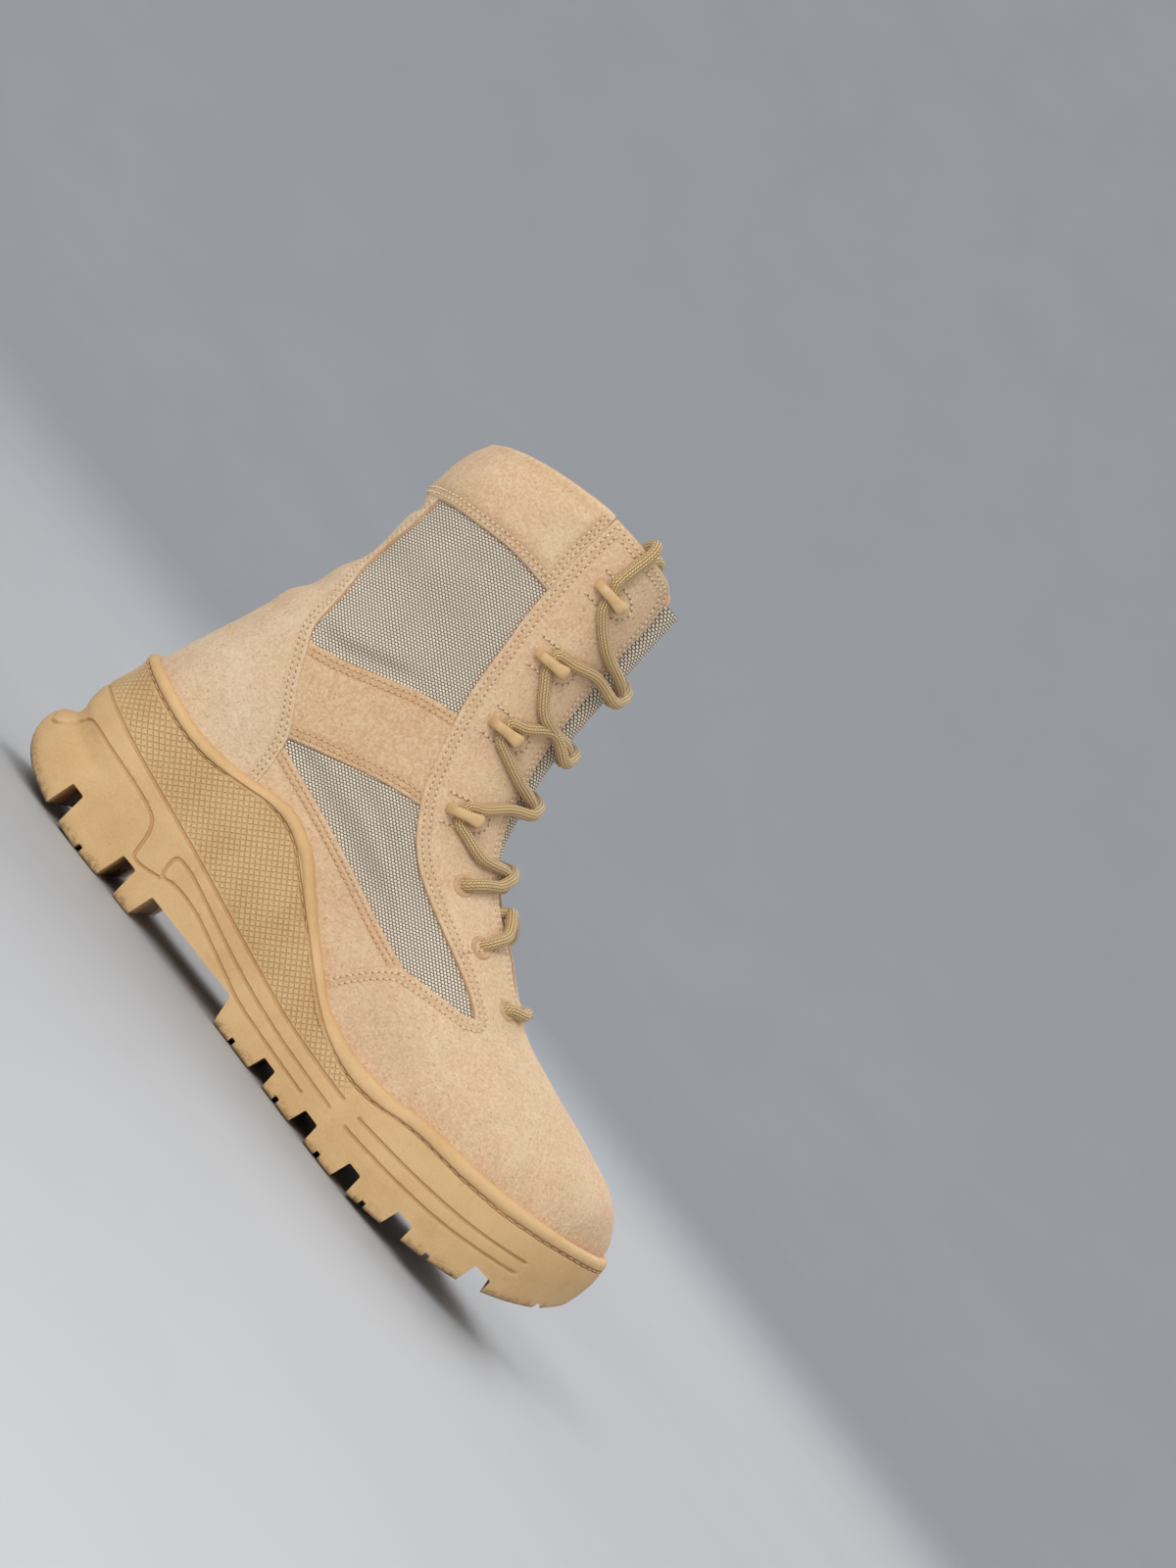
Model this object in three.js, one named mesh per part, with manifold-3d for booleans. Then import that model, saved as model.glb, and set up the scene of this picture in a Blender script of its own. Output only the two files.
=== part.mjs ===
// Combat boot, right foot, standing empty on its sole.
// Millimetres, +Z up, +X towards the toe, -Y on the outer (lateral) side.
// Lengths along the boot are counted from the rearmost point of the sole and heights from the floor.
// One function, skinHalf, gives the true shape of the last; upper, cuff, insole and sole cavity all use it.

import * as THREE from 'three';
import { mergeVertices } from 'three/addons/utils/BufferGeometryUtils.js';
import Module from 'manifold-3d';

const wasm = await Module();
wasm.setup();

// ---------------------------------------------------------------- driving dimensions

const WALL = 2.2;            // leather upper with its lining
const GAP = 0.3;             // clearance between neighbouring pieces
const INSOLE = 4.0;          // insole thickness
const TONGUE = 3.2;          // padded tongue thickness
const TONGUE_UNDER = 1.1;    // its clearance inside the facings
const TONGUE_LOW = 22;       // its half width under the vamp
const TONGUE_HIGH = 26;      // its half width at the top
const CUFF = 3.6;            // how far the padded collar cuff stands proud
const LACE = 5.0;            // lace diameter
const HEEL_ROUND = 37;       // depth of the round heel in plan
const TOE_X = 311.5;         // front of the upper, inside the sole's rim
const TOE_ROUND = 78;        // depth of the round toe in plan
const ROUND_POWER = 2.2;     // 2 is an ellipse, more is boxier
const TOE_POWER = 2.5;       // the same for the toe in plan
const BLEND_LOW = 55;        // below this height the width follows the plan of the foot
const BLEND_HIGH = 118;      // above this height it follows the shaft
const SLIT_LOW = 8;          // half gap between the facings at the vamp
const SLIT_HIGH = 11;        // half gap between the facings at the collar
const SLIT_ROW = 7.1;        // section row where that gap starts, at the vamp
const SLIT_AHEAD = [14, 12]; // how far in front of and above the ridge the gap is cut
const SLIT_BEHIND = [14, 8]; // how far behind and below it
const FAR = 90;              // reach of a cutting prism to either side

const COLOUR = {
  suede: 0xd9bd9a,
  rubber: 0xd8b480,
  lining: 0x8f7d5f,
  fabric: 0x9c8b6c,
  lace: 0x9a8460,
  hook: 0xdab988,
};

// Plan of the upper at the featherline: middle and half width before the round ends are taken off.
const PLAN = [
  { x: 12, middle: 0, half: 35 },
  { x: 50, middle: 0, half: 36 },
  { x: 95, middle: -2, half: 33.5 },
  { x: 135, middle: -3, half: 33 },
  { x: 175, middle: -2.5, half: 41 },
  { x: 210, middle: -1.5, half: 49.5 },
  { x: 235, middle: 0, half: 52 },
  { x: 270, middle: 4, half: 52.5 },
  { x: 312, middle: 9, half: 47 },
];

// Shaft: rear line of the leg and half width at each height.
const SHAFT = [
  { z: 20, rear: 12.5, half: 36 },
  { z: 60, rear: 12, half: 36 },
  { z: 72, rear: 12.5, half: 35.5 },
  { z: 92, rear: 16, half: 35 },
  { z: 110, rear: 20, half: 34.5 },
  { z: 128, rear: 22, half: 34 },
  { z: 142, rear: 27, half: 34 },
  { z: 165, rear: 32, half: 34.5 },
  { z: 185, rear: 29.5, half: 36 },
  { z: 210, rear: 28.5, half: 37.5 },
  { z: 262, rear: 30, half: 40 },
];

// Sections of the upper from the featherline to above the collar. Each one runs from the rear line
// at rearZ to the toe, vamp or throat at frontX, frontZ; round is the depth of its round front, and
// swell is how far the tongue bulges there between the facings.
const SECTIONS = [
  { frontX: 311.5, frontZ: 20, rearZ: 20, round: 28, swell: 0 },
  { frontX: 311.2, frontZ: 57, rearZ: 42, round: 28, swell: 0 },
  { frontX: 304, frontZ: 69.5, rearZ: 47, round: 29, swell: 0 },
  { frontX: 290, frontZ: 77.5, rearZ: 52, round: 34, swell: 0 },
  { frontX: 270, frontZ: 81.5, rearZ: 58, round: 38, swell: 0 },
  { frontX: 250, frontZ: 84.5, rearZ: 64, round: 42, swell: 0 },
  { frontX: 229, frontZ: 88.2, rearZ: 71, round: 46, swell: 0 },
  { frontX: 212, frontZ: 95.5, rearZ: 79, round: 50, swell: 0 },
  { frontX: 196, frontZ: 105.5, rearZ: 89, round: 54, swell: 1 },
  { frontX: 178, frontZ: 115, rearZ: 100, round: 54, swell: 1.5 },
  { frontX: 162, frontZ: 127.5, rearZ: 113, round: 52, swell: 2.6 },
  { frontX: 150.5, frontZ: 144, rearZ: 131, round: 49, swell: 5.2 },
  { frontX: 141, frontZ: 166, rearZ: 154, round: 47, swell: 6.8 },
  { frontX: 134.5, frontZ: 189, rearZ: 178, round: 45, swell: 8.3 },
  { frontX: 129, frontZ: 217, rearZ: 207, round: 45, swell: 8.8 },
  { frontX: 122, frontZ: 262, rearZ: 262, round: 46, swell: 8.8 },
];
const FIRST_RIDGE = 2;       // sections from here on end on the ridge of the toe, vamp and throat
const RIDGE_RUNOUT = [[320, 24], [318.5, 50], [312, 62]];

// Top of the footbed inside the sole, lowest line of the tread, and both edges of the sole's rim.
const FOOTBED = [
  { x: 0, z: 45 }, { x: 60, z: 43.5 }, { x: 110, z: 37 }, { x: 150, z: 29 },
  { x: 190, z: 22.5 }, { x: 225, z: 22 }, { x: 260, z: 25 }, { x: 290, z: 30.5 }, { x: 320, z: 38 },
];
const TREAD = [
  { x: 0, z: 17 }, { x: 2, z: 13 }, { x: 7, z: 9.5 }, { x: 20, z: 4.5 }, { x: 40, z: 1.2 },
  { x: 54, z: 0 }, { x: 218, z: 0 }, { x: 240, z: 3 }, { x: 280, z: 12 }, { x: 309, z: 26 },
  { x: 318, z: 35 },
];
const RIM_TOP = [
  { x: 7, z: 72 }, { x: 20, z: 70.5 }, { x: 50, z: 67.5 }, { x: 70, z: 70 }, { x: 97, z: 77 },
  { x: 112, z: 73.3 }, { x: 130, z: 61.5 }, { x: 150, z: 49 }, { x: 170, z: 39 }, { x: 190, z: 36.5 },
  { x: 210, z: 38.5 }, { x: 225, z: 42.8 }, { x: 250, z: 46 }, { x: 290, z: 53.5 }, { x: 317, z: 60 },
];
const RIM_HEIGHT = [
  { x: 0, z: 5 }, { x: 97, z: 5.5 }, { x: 130, z: 6 }, { x: 190, z: 7 }, { x: 317, z: 5 },
];

// Rings of the sole's outside, from the tread up: where each one starts and ends along the boot,
// how far it stands outside the upper, and the share of the way up from the tread to the rim groove
// (or, in the last rows, from the groove to the top of the rim).
const SOLE_RINGS = [
  { rear: 3, front: 314.5, out: 4.0, lift: 0, inRim: 0 },
  { rear: 0, front: 317.5, out: 6.0, lift: 0.08, inRim: 0 },
  { rear: 4.5, front: 318, out: 6.4, lift: 0.55, inRim: 0 },
  { rear: 7.6, front: 316.4, out: 5.2, lift: 1, inRim: 0 },
  { rear: 7.2, front: 316.2, out: 5.8, lift: 1, inRim: 0.35 },
  { rear: 8, front: 315, out: 4.9, lift: 1, inRim: 0.8 },
  { rear: 10, front: 313.4, out: 2.6, lift: 1, inRim: 1 },
];

// Gaps between the tread blocks: width at the floor from start to end, and the height of the roof.
const TREAD_GAPS = [
  { start: 32, end: 41, roof: 15.5 },
  { start: 67, end: 77, roof: 13.5 },
  { start: 87, end: 142, roof: 12 },
  { start: 164.5, end: 174, roof: 8 },
  { start: 191, end: 201, roof: 8.5 },
  { start: 218, end: 227, roof: 9.7 },
  { start: 244.5, end: 255, roof: 13 },
  { start: 280, end: 291, roof: 22 },
];
const GAP_TAPER = 1.2;       // each wall of a gap leans in by this much
const ARCH_FRONT = 4.5;      // the block in front of the arch leans by more
const RIM_REACH = 4;         // the sole's round ends are this much deeper than the upper's
const CHANNELS = [-14, 14];  // tread channels along the boot
const CHANNEL_WIDTH = 4;
const CHANNEL_DEPTH = 5;

// Line of the collar, from the rear to the facing's corner.
const COLLAR = [
  { x: 0, z: 222 }, { x: 28, z: 228.5 }, { x: 40, z: 236 }, { x: 60, z: 243 }, { x: 85, z: 249.5 },
  { x: 114, z: 250.5 }, { x: 119.5, z: 249 }, { x: 122, z: 245 }, { x: 124, z: 238 },
];
// Lower edge of the padded cuff, and where its front edge meets the collar.
const CUFF_EDGE = [
  { x: 0, z: 190 }, { x: 26, z: 196 }, { x: 50, z: 204 }, { x: 70, z: 208.8 }, { x: 90.2, z: 209.5 },
];
const CUFF_FRONT_TOP = 86;

// Eyelets and lacing loops on the facings; lean is the loop's angle to the floor in degrees.
const EYELETS = [{ x: 161, z: 110 }, { x: 184.5, z: 99.5 }, { x: 210, z: 91.5 }];
const EYELET_HOLE = 2.5;
const EYELET_OUTER = 4.9;
const LOOPS = [
  { x: 107.3, z: 227.5, lean: 4 }, { x: 113.2, z: 193, lean: 12 },
  { x: 122.6, z: 161.5, lean: 12 }, { x: 138.4, z: 127.6, lean: 27 },
];
const LOOP_LENGTH = 14;
const LOOP_WIDTH = 4;
const LOOP_CLEAR = 5.2;      // height under the bar
const LOOP_BAR = 2.0;        // thickness of the bar
const LOOP_FOOT = 2.2;

// Lace over the throat, as seen from the side: each crossing leaves one piece of hardware, runs over
// the facing, passes the ridge at a section row and comes down to the next one on the other side.
const CROSSINGS = [
  { upper: [110, 221.5], upperVia: [120, 213.5], row: 13.6, lowerVia: [126, 203], lower: [118, 198.8] },
  { upper: [117, 186.5], upperVia: [126, 177.5], row: 12.3, lowerVia: [133, 175.5], lower: [126, 168] },
  { upper: [127.8, 156.4], upperVia: [139, 152.6], row: 11.2, lowerVia: [146, 142], lower: [141.4, 134.6] },
  { upper: [144.6, 123], upperVia: [155, 121], row: 9.7, lowerVia: [168, 118], lower: [165.4, 114.6] },
];
const LOW_STRAND = { upper: [185, 102.5], upperVia: [184, 107.5], row: 8.9 };
const BAR = { hole: [211.5, 92], via: [214.5, 93], row: 6.85 };
const LACE_LIFT = LACE / 2 + 2 * GAP;
const EDGE_Y = 9;            // half width of the throat where the lace leaves the facing
// Lace ends: over the top of the flap and down inside it, as height, and lift from the upper.
const END_X = 104.8;
const END_ROUTE = [
  { z: 234, lift: 3.4 }, { z: 239, lift: 3.3 }, { z: 244, lift: 3.3 }, { z: 249, lift: 3.3 },
  { z: 252.8, lift: 2.0 }, { z: 254.6, lift: -1.1 }, { z: 252.8, lift: -4.3 }, { z: 249, lift: -5.7 },
  { z: 244, lift: -5.7 }, { z: 239, lift: -5.8 }, { z: 234, lift: -5.8 }, { z: 229, lift: -5.8 },
];

// Mesh resolution.
const RINGS = 26;
const SIDE_POINTS = 14;
const SOLE_POINTS = 34;
const STRAND_STEPS = 7;
const END_STEPS = 12;

// ---------------------------------------------------------------- tables and curves

// Smooth value of a named column, with no overshoot between the rows.
function column(table, key, name, at) {
  const last = table.length - 1;
  if (at <= table[0][key]) return table[0][name];
  if (at >= table[last][key]) return table[last][name];
  const slope = (i) => (table[i + 1][name] - table[i][name]) / (table[i + 1][key] - table[i][key]);
  const tangent = (i) => {
    if (i === 0) return slope(0);
    if (i === last) return slope(last - 1);
    const before = slope(i - 1);
    const after = slope(i);
    return before * after <= 0 ? 0 : (2 * before * after) / (before + after);
  };
  let i = 0;
  while (table[i + 1][key] < at) i += 1;
  const width = table[i + 1][key] - table[i][key];
  const t = (at - table[i][key]) / width;
  const stay = (1 + 2 * t) * (1 - t) * (1 - t);
  const go = t * t * (3 - 2 * t);
  const leave = t * (1 - t) * (1 - t) * width;
  const arrive = -t * t * (1 - t) * width;
  return stay * table[i][name] + go * table[i + 1][name] + leave * tangent(i) + arrive * tangent(i + 1);
}

const numberedSections = SECTIONS.map((section, row) => ({ row, ...section }));
const sectionAt = (name, row) => column(numberedSections, 'row', name, row);

// Rise of a round end: 0 at the edge, 1 at the depth of the rounding and beyond.
function rise(depth, power = ROUND_POWER) {
  if (depth <= 0) return 0;
  if (depth >= 1) return 1;
  return (1 - (1 - depth) ** power) ** (1 / power);
}

function smoothStep(low, high, value) {
  const t = Math.min(1, Math.max(0, (value - low) / (high - low)));
  return t * t * (3 - 2 * t);
}

// The ridge line of toe, vamp and throat, as short chords with the rounding depth at each.
const ridge = RIDGE_RUNOUT.map(([x, z]) => ({ x, z, round: SECTIONS[FIRST_RIDGE].round }));
const RIDGE_STEPS = 8;
for (let i = FIRST_RIDGE * RIDGE_STEPS; i <= (SECTIONS.length - 1) * RIDGE_STEPS; i += 1) {
  const row = i / RIDGE_STEPS;
  ridge.push({ x: sectionAt('frontX', row), z: sectionAt('frontZ', row), round: sectionAt('round', row) });
}

// Depth below the ridge as a share of the rounding there.
function ridgeDepth(x, z) {
  let nearest = Infinity;
  let share = 0;
  for (let i = 0; i + 1 < ridge.length; i += 1) {
    const a = ridge[i];
    const b = ridge[i + 1];
    const runX = b.x - a.x;
    const runZ = b.z - a.z;
    const along = ((x - a.x) * runX + (z - a.z) * runZ) / (runX * runX + runZ * runZ);
    const t = Math.min(1, Math.max(0, along));
    const distance = Math.hypot(x - a.x - t * runX, z - a.z - t * runZ);
    if (distance < nearest) {
      nearest = distance;
      share = distance / (a.round + t * (b.round - a.round));
    }
  }
  return share;
}

// ---------------------------------------------------------------- shape of the last

function skinMiddle(x, z) {
  return column(PLAN, 'x', 'middle', x) * (1 - smoothStep(BLEND_LOW, BLEND_HIGH, z));
}

function skinHalf(x, z) {
  const foot = column(PLAN, 'x', 'half', x);
  const leg = column(SHAFT, 'z', 'half', z);
  const widest = foot + (leg - foot) * smoothStep(BLEND_LOW, BLEND_HIGH, z);
  const heel = rise((x - column(SHAFT, 'z', 'rear', z)) / HEEL_ROUND);
  const toe = rise((TOE_X - x) / TOE_ROUND, TOE_POWER);
  return widest * heel * toe * rise(ridgeDepth(x, z));
}

// A ring of points: rear, outer side, front, inner side. The side points crowd into the round ends.
function skinRing(row) {
  const rearZ = sectionAt('rearZ', row);
  const rear = { x: column(SHAFT, 'z', 'rear', rearZ), z: rearZ };
  const front = { x: sectionAt('frontX', row), z: sectionAt('frontZ', row) };
  const ring = [];
  const add = (i, side) => {
    const t = (1 - Math.cos((Math.PI * i) / SIDE_POINTS)) / 2;
    const x = rear.x + (front.x - rear.x) * t;
    const z = rear.z + (front.z - rear.z) * t;
    ring.push(new THREE.Vector3(x, skinMiddle(x, z) + side * skinHalf(x, z), z));
  };
  add(0, 0);
  for (let i = 1; i < SIDE_POINTS; i += 1) add(i, -1);
  add(SIDE_POINTS, 0);
  for (let i = SIDE_POINTS - 1; i > 0; i -= 1) add(i, 1);
  return ring;
}

const skinRings = [];
for (let i = 0; i < RINGS; i += 1) {
  skinRings.push(skinRing((i / (RINGS - 1)) * (SECTIONS.length - 1)));
}

// The same rings moved outwards along the surface's own normals.
function offsetRings(distance) {
  const last = skinRings.length - 1;
  return skinRings.map((ring, i) => ring.map((point, j) => {
    const count = ring.length;
    const around = new THREE.Vector3().subVectors(ring[(j + 1) % count], ring[(j + count - 1) % count]);
    const above = skinRings[Math.min(last, i + 1)][j];
    const below = skinRings[Math.max(0, i - 1)][j];
    const up = new THREE.Vector3().subVectors(above, below);
    const normal = new THREE.Vector3().crossVectors(around, up).normalize();
    return point.clone().addScaledVector(normal, distance);
  }));
}

// Closed body from rings that all have the order of skinRing; both ends are closed side to side.
function loft(rings) {
  const count = rings[0].length;
  const half = count / 2;
  const positions = rings.flat().flatMap((point) => [point.x, point.y, point.z]);
  const index = [];
  const quad = (a, b, c, d) => index.push(a, b, c, a, c, d);
  for (let i = 0; i + 1 < rings.length; i += 1) {
    for (let j = 0; j < count; j += 1) {
      const k = (j + 1) % count;
      quad(i * count + j, i * count + k, (i + 1) * count + k, (i + 1) * count + j);
    }
  }
  const cap = (start, flip) => {
    for (let j = 0; j < half; j += 1) {
      const a = start + j;
      const b = start + j + 1;
      const c = start + ((count - j - 1) % count);
      const d = start + ((count - j) % count);
      const corners = [a, b, c, d].filter((corner, at, all) => all.indexOf(corner) === at);
      if (flip) corners.reverse();
      for (let n = 1; n + 1 < corners.length; n += 1) index.push(corners[0], corners[n], corners[n + 1]);
    }
  };
  cap(0, true);
  cap((rings.length - 1) * count, false);
  const geometry = new THREE.BufferGeometry();
  geometry.setAttribute('position', new THREE.Float32BufferAttribute(positions, 3));
  geometry.setIndex(index);
  return geometry;
}

// ---------------------------------------------------------------- solids

function solid(geometry) {
  const bare = geometry.clone();
  bare.deleteAttribute('normal');
  bare.deleteAttribute('uv');
  const merged = mergeVertices(bare, 1e-4);
  const vertProperties = new Float32Array(merged.attributes.position.array);
  const triVerts = new Uint32Array(merged.index.array);
  const body = new wasm.Manifold(new wasm.Mesh({ numProp: 3, vertProperties, triVerts }));
  if (body.volume() >= 0) return body;
  for (let i = 0; i < triVerts.length; i += 3) {
    [triVerts[i], triVerts[i + 1]] = [triVerts[i + 1], triVerts[i]];
  }
  return new wasm.Manifold(new wasm.Mesh({ numProp: 3, vertProperties, triVerts }));
}

function geometryOf(body) {
  const mesh = body.getMesh();
  const geometry = new THREE.BufferGeometry();
  const positions = new Float32Array(mesh.numVert * 3);
  for (let i = 0; i < mesh.numVert; i += 1) {
    for (let axis = 0; axis < 3; axis += 1) {
      positions[i * 3 + axis] = mesh.vertProperties[i * mesh.numProp + axis];
    }
  }
  geometry.setAttribute('position', new THREE.BufferAttribute(positions, 3));
  geometry.setIndex(new THREE.BufferAttribute(new Uint32Array(mesh.triVerts), 1));
  return geometry;
}

// Prism through the whole boot from an outline seen from the side.
function sidePrism(outline, from = -FAR, to = FAR) {
  const shape = new THREE.Shape(outline.map(([x, z]) => new THREE.Vector2(x, z)));
  const geometry = new THREE.ExtrudeGeometry(shape, { depth: to - from, bevelEnabled: false, steps: 1 });
  geometry.rotateX(Math.PI / 2);
  geometry.translate(0, to, 0);
  return geometry;
}

// Points along a table's curve, raised by a given height.
function curvePoints(table, from, to, step, height = 0) {
  const points = [];
  const count = Math.round((to - from) / step);
  for (let i = 0; i <= count; i += 1) {
    const x = from + ((to - from) * i) / count;
    points.push([x, column(table, 'x', 'z', x) + height]);
  }
  return points;
}

// Everything below the footbed's curve, and everything above the collar line.
function belowFootbed(height) {
  return solid(sidePrism([[-10, -40], [330, -40], ...curvePoints(FOOTBED, -10, 330, 20, height).reverse()]));
}

function aboveCollar(height) {
  const line = COLLAR.map(({ x, z }) => [x, z + height]);
  return solid(sidePrism([...line, [150, 238 + height], [150, 300], [-10, 300], [-10, 222 + height]]));
}

// ---------------------------------------------------------------- sub-parts

// Gap between the facings: a tapered slit from the vamp to above the collar.
function throatSlit() {
  const bottom = sectionAt('frontZ', SLIT_ROW);
  const inner = [[sectionAt('frontX', SLIT_ROW) + 1, bottom - 12]];
  const outer = [[sectionAt('frontX', SLIT_ROW) + SLIT_AHEAD[0], bottom + SLIT_AHEAD[1]]];
  const steps = 12;
  for (let i = 1; i <= steps; i += 1) {
    const row = SLIT_ROW + ((SECTIONS.length - 1 - SLIT_ROW) * i) / steps;
    const x = sectionAt('frontX', row);
    const z = sectionAt('frontZ', row);
    outer.push([x + SLIT_AHEAD[0], z + SLIT_AHEAD[1]]);
    inner.push([x - SLIT_BEHIND[0], z - SLIT_BEHIND[1]]);
  }
  const geometry = sidePrism([...inner.reverse(), ...outer], -1, 1);
  const position = geometry.attributes.position;
  for (let i = 0; i < position.count; i += 1) {
    const open = smoothStep(bottom - 20, bottom + 130, position.getZ(i));
    const half = SLIT_LOW + (SLIT_HIGH - SLIT_LOW) * open;
    const middle = skinMiddle(position.getX(i), position.getZ(i));
    position.setY(i, middle + position.getY(i) * half);
  }
  return solid(geometry);
}

// Place on the upper's surface, as a point and its outward normal. side is -1 outside, 1 inside.
function skinPlace(x, z, side) {
  const y = (atX, atZ) => skinMiddle(atX, atZ) + side * skinHalf(atX, atZ);
  const step = 0.5;
  const slopeX = (y(x + step, z) - y(x - step, z)) / (2 * step);
  const slopeZ = (y(x, z + step) - y(x, z - step)) / (2 * step);
  const normal = new THREE.Vector3(-side * slopeX, side, -side * slopeZ).normalize();
  return { point: new THREE.Vector3(x, y(x, z), z), normal };
}

function eyeletHole(eyelet, side) {
  const { point, normal } = skinPlace(eyelet.x, eyelet.z, side);
  const geometry = new THREE.CylinderGeometry(EYELET_HOLE, EYELET_HOLE, 16, 10);
  geometry.applyQuaternion(new THREE.Quaternion().setFromUnitVectors(new THREE.Vector3(0, 1, 0), normal));
  geometry.translate(point.x, point.y, point.z);
  return solid(geometry);
}

// The leather upper: one hollow body, open at the collar, the throat and underneath.
function upperGeometry() {
  let body = solid(loft(skinRings)).subtract(solid(loft(offsetRings(-WALL))));
  body = body.subtract(belowFootbed(GAP));
  body = body.subtract(aboveCollar(0));
  body = body.subtract(throatSlit());
  for (const eyelet of EYELETS) {
    for (const side of [-1, 1]) body = body.subtract(eyeletHole(eyelet, side));
  }
  return geometryOf(body);
}

// The padded cuff around the rear of the collar, cut between two larger forms of the upper.
function cuffGeometry() {
  const shell = solid(loft(offsetRings(CUFF))).subtract(solid(loft(offsetRings(GAP))));
  const lower = CUFF_EDGE.map(({ x, z }) => [x, z]);
  const region = solid(sidePrism([...lower, [CUFF_FRONT_TOP, 262], [0, 262]]));
  return geometryOf(shell.intersect(region).subtract(aboveCollar(-0.6)));
}

// The insole lies on the footbed inside the upper.
function insoleGeometry() {
  const low = curvePoints(FOOTBED, -5, 325, 15, 2 * GAP);
  const high = curvePoints(FOOTBED, -5, 325, 15, 2 * GAP + INSOLE).reverse();
  const slab = solid(sidePrism([...low, ...high]));
  return geometryOf(slab.intersect(solid(loft(offsetRings(-WALL - GAP)))));
}

// The tongue follows the inside of the upper and swells out between the facings.
function tongueGeometry() {
  const firstRow = 6.2;
  const lastRow = 14.62;
  const steps = 17;
  const columns = 14;
  const rings = [];
  for (let i = 0; i <= steps; i += 1) {
    const row = firstRow + ((lastRow - firstRow) * i) / steps;
    const ahead = { x: sectionAt('frontX', row + 0.05), z: sectionAt('frontZ', row + 0.05) };
    const here = { x: sectionAt('frontX', row), z: sectionAt('frontZ', row) };
    const run = Math.hypot(ahead.x - here.x, ahead.z - here.z);
    const outX = (ahead.z - here.z) / run;
    const outZ = -(ahead.x - here.x) / run;
    const depth = sectionAt('round', row);
    const leg = column(SHAFT, 'z', 'half', here.z);
    const foot = column(PLAN, 'x', 'half', here.x);
    const half = foot + (leg - foot) * smoothStep(BLEND_LOW, BLEND_HIGH, here.z);
    const width = TONGUE_LOW + (TONGUE_HIGH - TONGUE_LOW) * smoothStep(6, 12, row);
    const under = -WALL - TONGUE_UNDER;
    const swell = sectionAt('swell', row);
    const slit = SLIT_LOW - 1 + (SLIT_HIGH - SLIT_LOW) * smoothStep(8, 14, row);
    const place = (share, lower) => {
      const y = Math.sign(share) * Math.abs(share) ** 1.4 * width;
      const across = Math.abs(y / (half + under)) ** ROUND_POWER;
      const fall = depth * (1 - (1 - across) ** (1 / ROUND_POWER));
      const bump = swell * Math.max(0, 1 - (y / slit) ** 2) ** 1.2;
      const out = under - fall + bump - (lower ? TONGUE : 0);
      return new THREE.Vector3(here.x + outX * out, skinMiddle(here.x, here.z) + y, here.z + outZ * out);
    };
    const ring = [];
    for (let j = 0; j <= columns; j += 1) ring.push(place((2 * j) / columns - 1, false));
    for (let j = columns; j >= 0; j -= 1) ring.push(place((2 * j) / columns - 1, true));
    rings.push(ring);
  }
  return stripLoft(rings, columns + 1);
}

// Closed body from flat rings, each an upper row of points followed by the lower row backwards.
function stripLoft(rings, row) {
  const count = rings[0].length;
  const positions = rings.flat().flatMap((point) => [point.x, point.y, point.z]);
  const index = [];
  for (let i = 0; i + 1 < rings.length; i += 1) {
    for (let j = 0; j < count; j += 1) {
      const k = (j + 1) % count;
      const a = i * count + j;
      const b = i * count + k;
      index.push(a, b, b + count, a, b + count, a + count);
    }
  }
  const last = (rings.length - 1) * count;
  for (let j = 0; j + 1 < row; j += 1) {
    const low = count - 1 - j;
    index.push(j, low, low - 1, j, low - 1, j + 1);
    index.push(last + j, last + j + 1, last + low - 1, last + j, last + low - 1, last + low);
  }
  const geometry = new THREE.BufferGeometry();
  geometry.setAttribute('position', new THREE.Float32BufferAttribute(positions, 3));
  geometry.setIndex(index);
  return geometryOf(solid(geometry));
}

// One ring around the sole's outside.
function soleRing({ rear, front, out, lift, inRim }) {
  const ring = [];
  const add = (i, side) => {
    const x = rear + ((front - rear) * (1 - Math.cos((Math.PI * i) / SOLE_POINTS))) / 2;
    const heel = rise((x - rear) / (HEEL_ROUND + RIM_REACH));
    const ends = heel * rise((front - x) / (TOE_ROUND + RIM_REACH), TOE_POWER);
    const half = (column(PLAN, 'x', 'half', x) + out) * ends;
    const tread = column(TREAD, 'x', 'z', x);
    const top = column(RIM_TOP, 'x', 'z', x);
    const groove = top - column(RIM_HEIGHT, 'x', 'z', x);
    const z = tread + (groove - tread) * lift + (top - groove) * inRim;
    ring.push(new THREE.Vector3(x, column(PLAN, 'x', 'middle', x) + side * half, z));
  };
  add(0, 0);
  for (let i = 1; i < SOLE_POINTS; i += 1) add(i, -1);
  add(SOLE_POINTS, 0);
  for (let i = SOLE_POINTS - 1; i > 0; i -= 1) add(i, 1);
  return ring;
}

// Cross gaps between the tread blocks, and the channels along the boot.
function treadCuts() {
  const cuts = TREAD_GAPS.map(({ start, end, roof }, i) => {
    const lean = end - start > 30 ? ARCH_FRONT : GAP_TAPER;
    return solid(sidePrism([
      [start - GAP_TAPER / 4, -5], [end + lean / 4, -5], [end - lean, roof], [start + GAP_TAPER, roof],
    ]));
  });
  for (const y of CHANNELS) {
    const roof = curvePoints(TREAD, 6, 306, 25, CHANNEL_DEPTH).reverse();
    cuts.push(solid(sidePrism([[6, -5], [306, -5], ...roof], y - CHANNEL_WIDTH / 2, y + CHANNEL_WIDTH / 2)));
  }
  return cuts;
}

// The sole: one moulded cup with tread blocks below and a rim that the upper stands in.
function soleGeometry() {
  let body = solid(loft(SOLE_RINGS.map(soleRing)));
  body = body.subtract(solid(loft(offsetRings(GAP))).subtract(belowFootbed(0)));
  for (const cut of treadCuts()) body = body.subtract(cut);
  return geometryOf(body);
}

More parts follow.
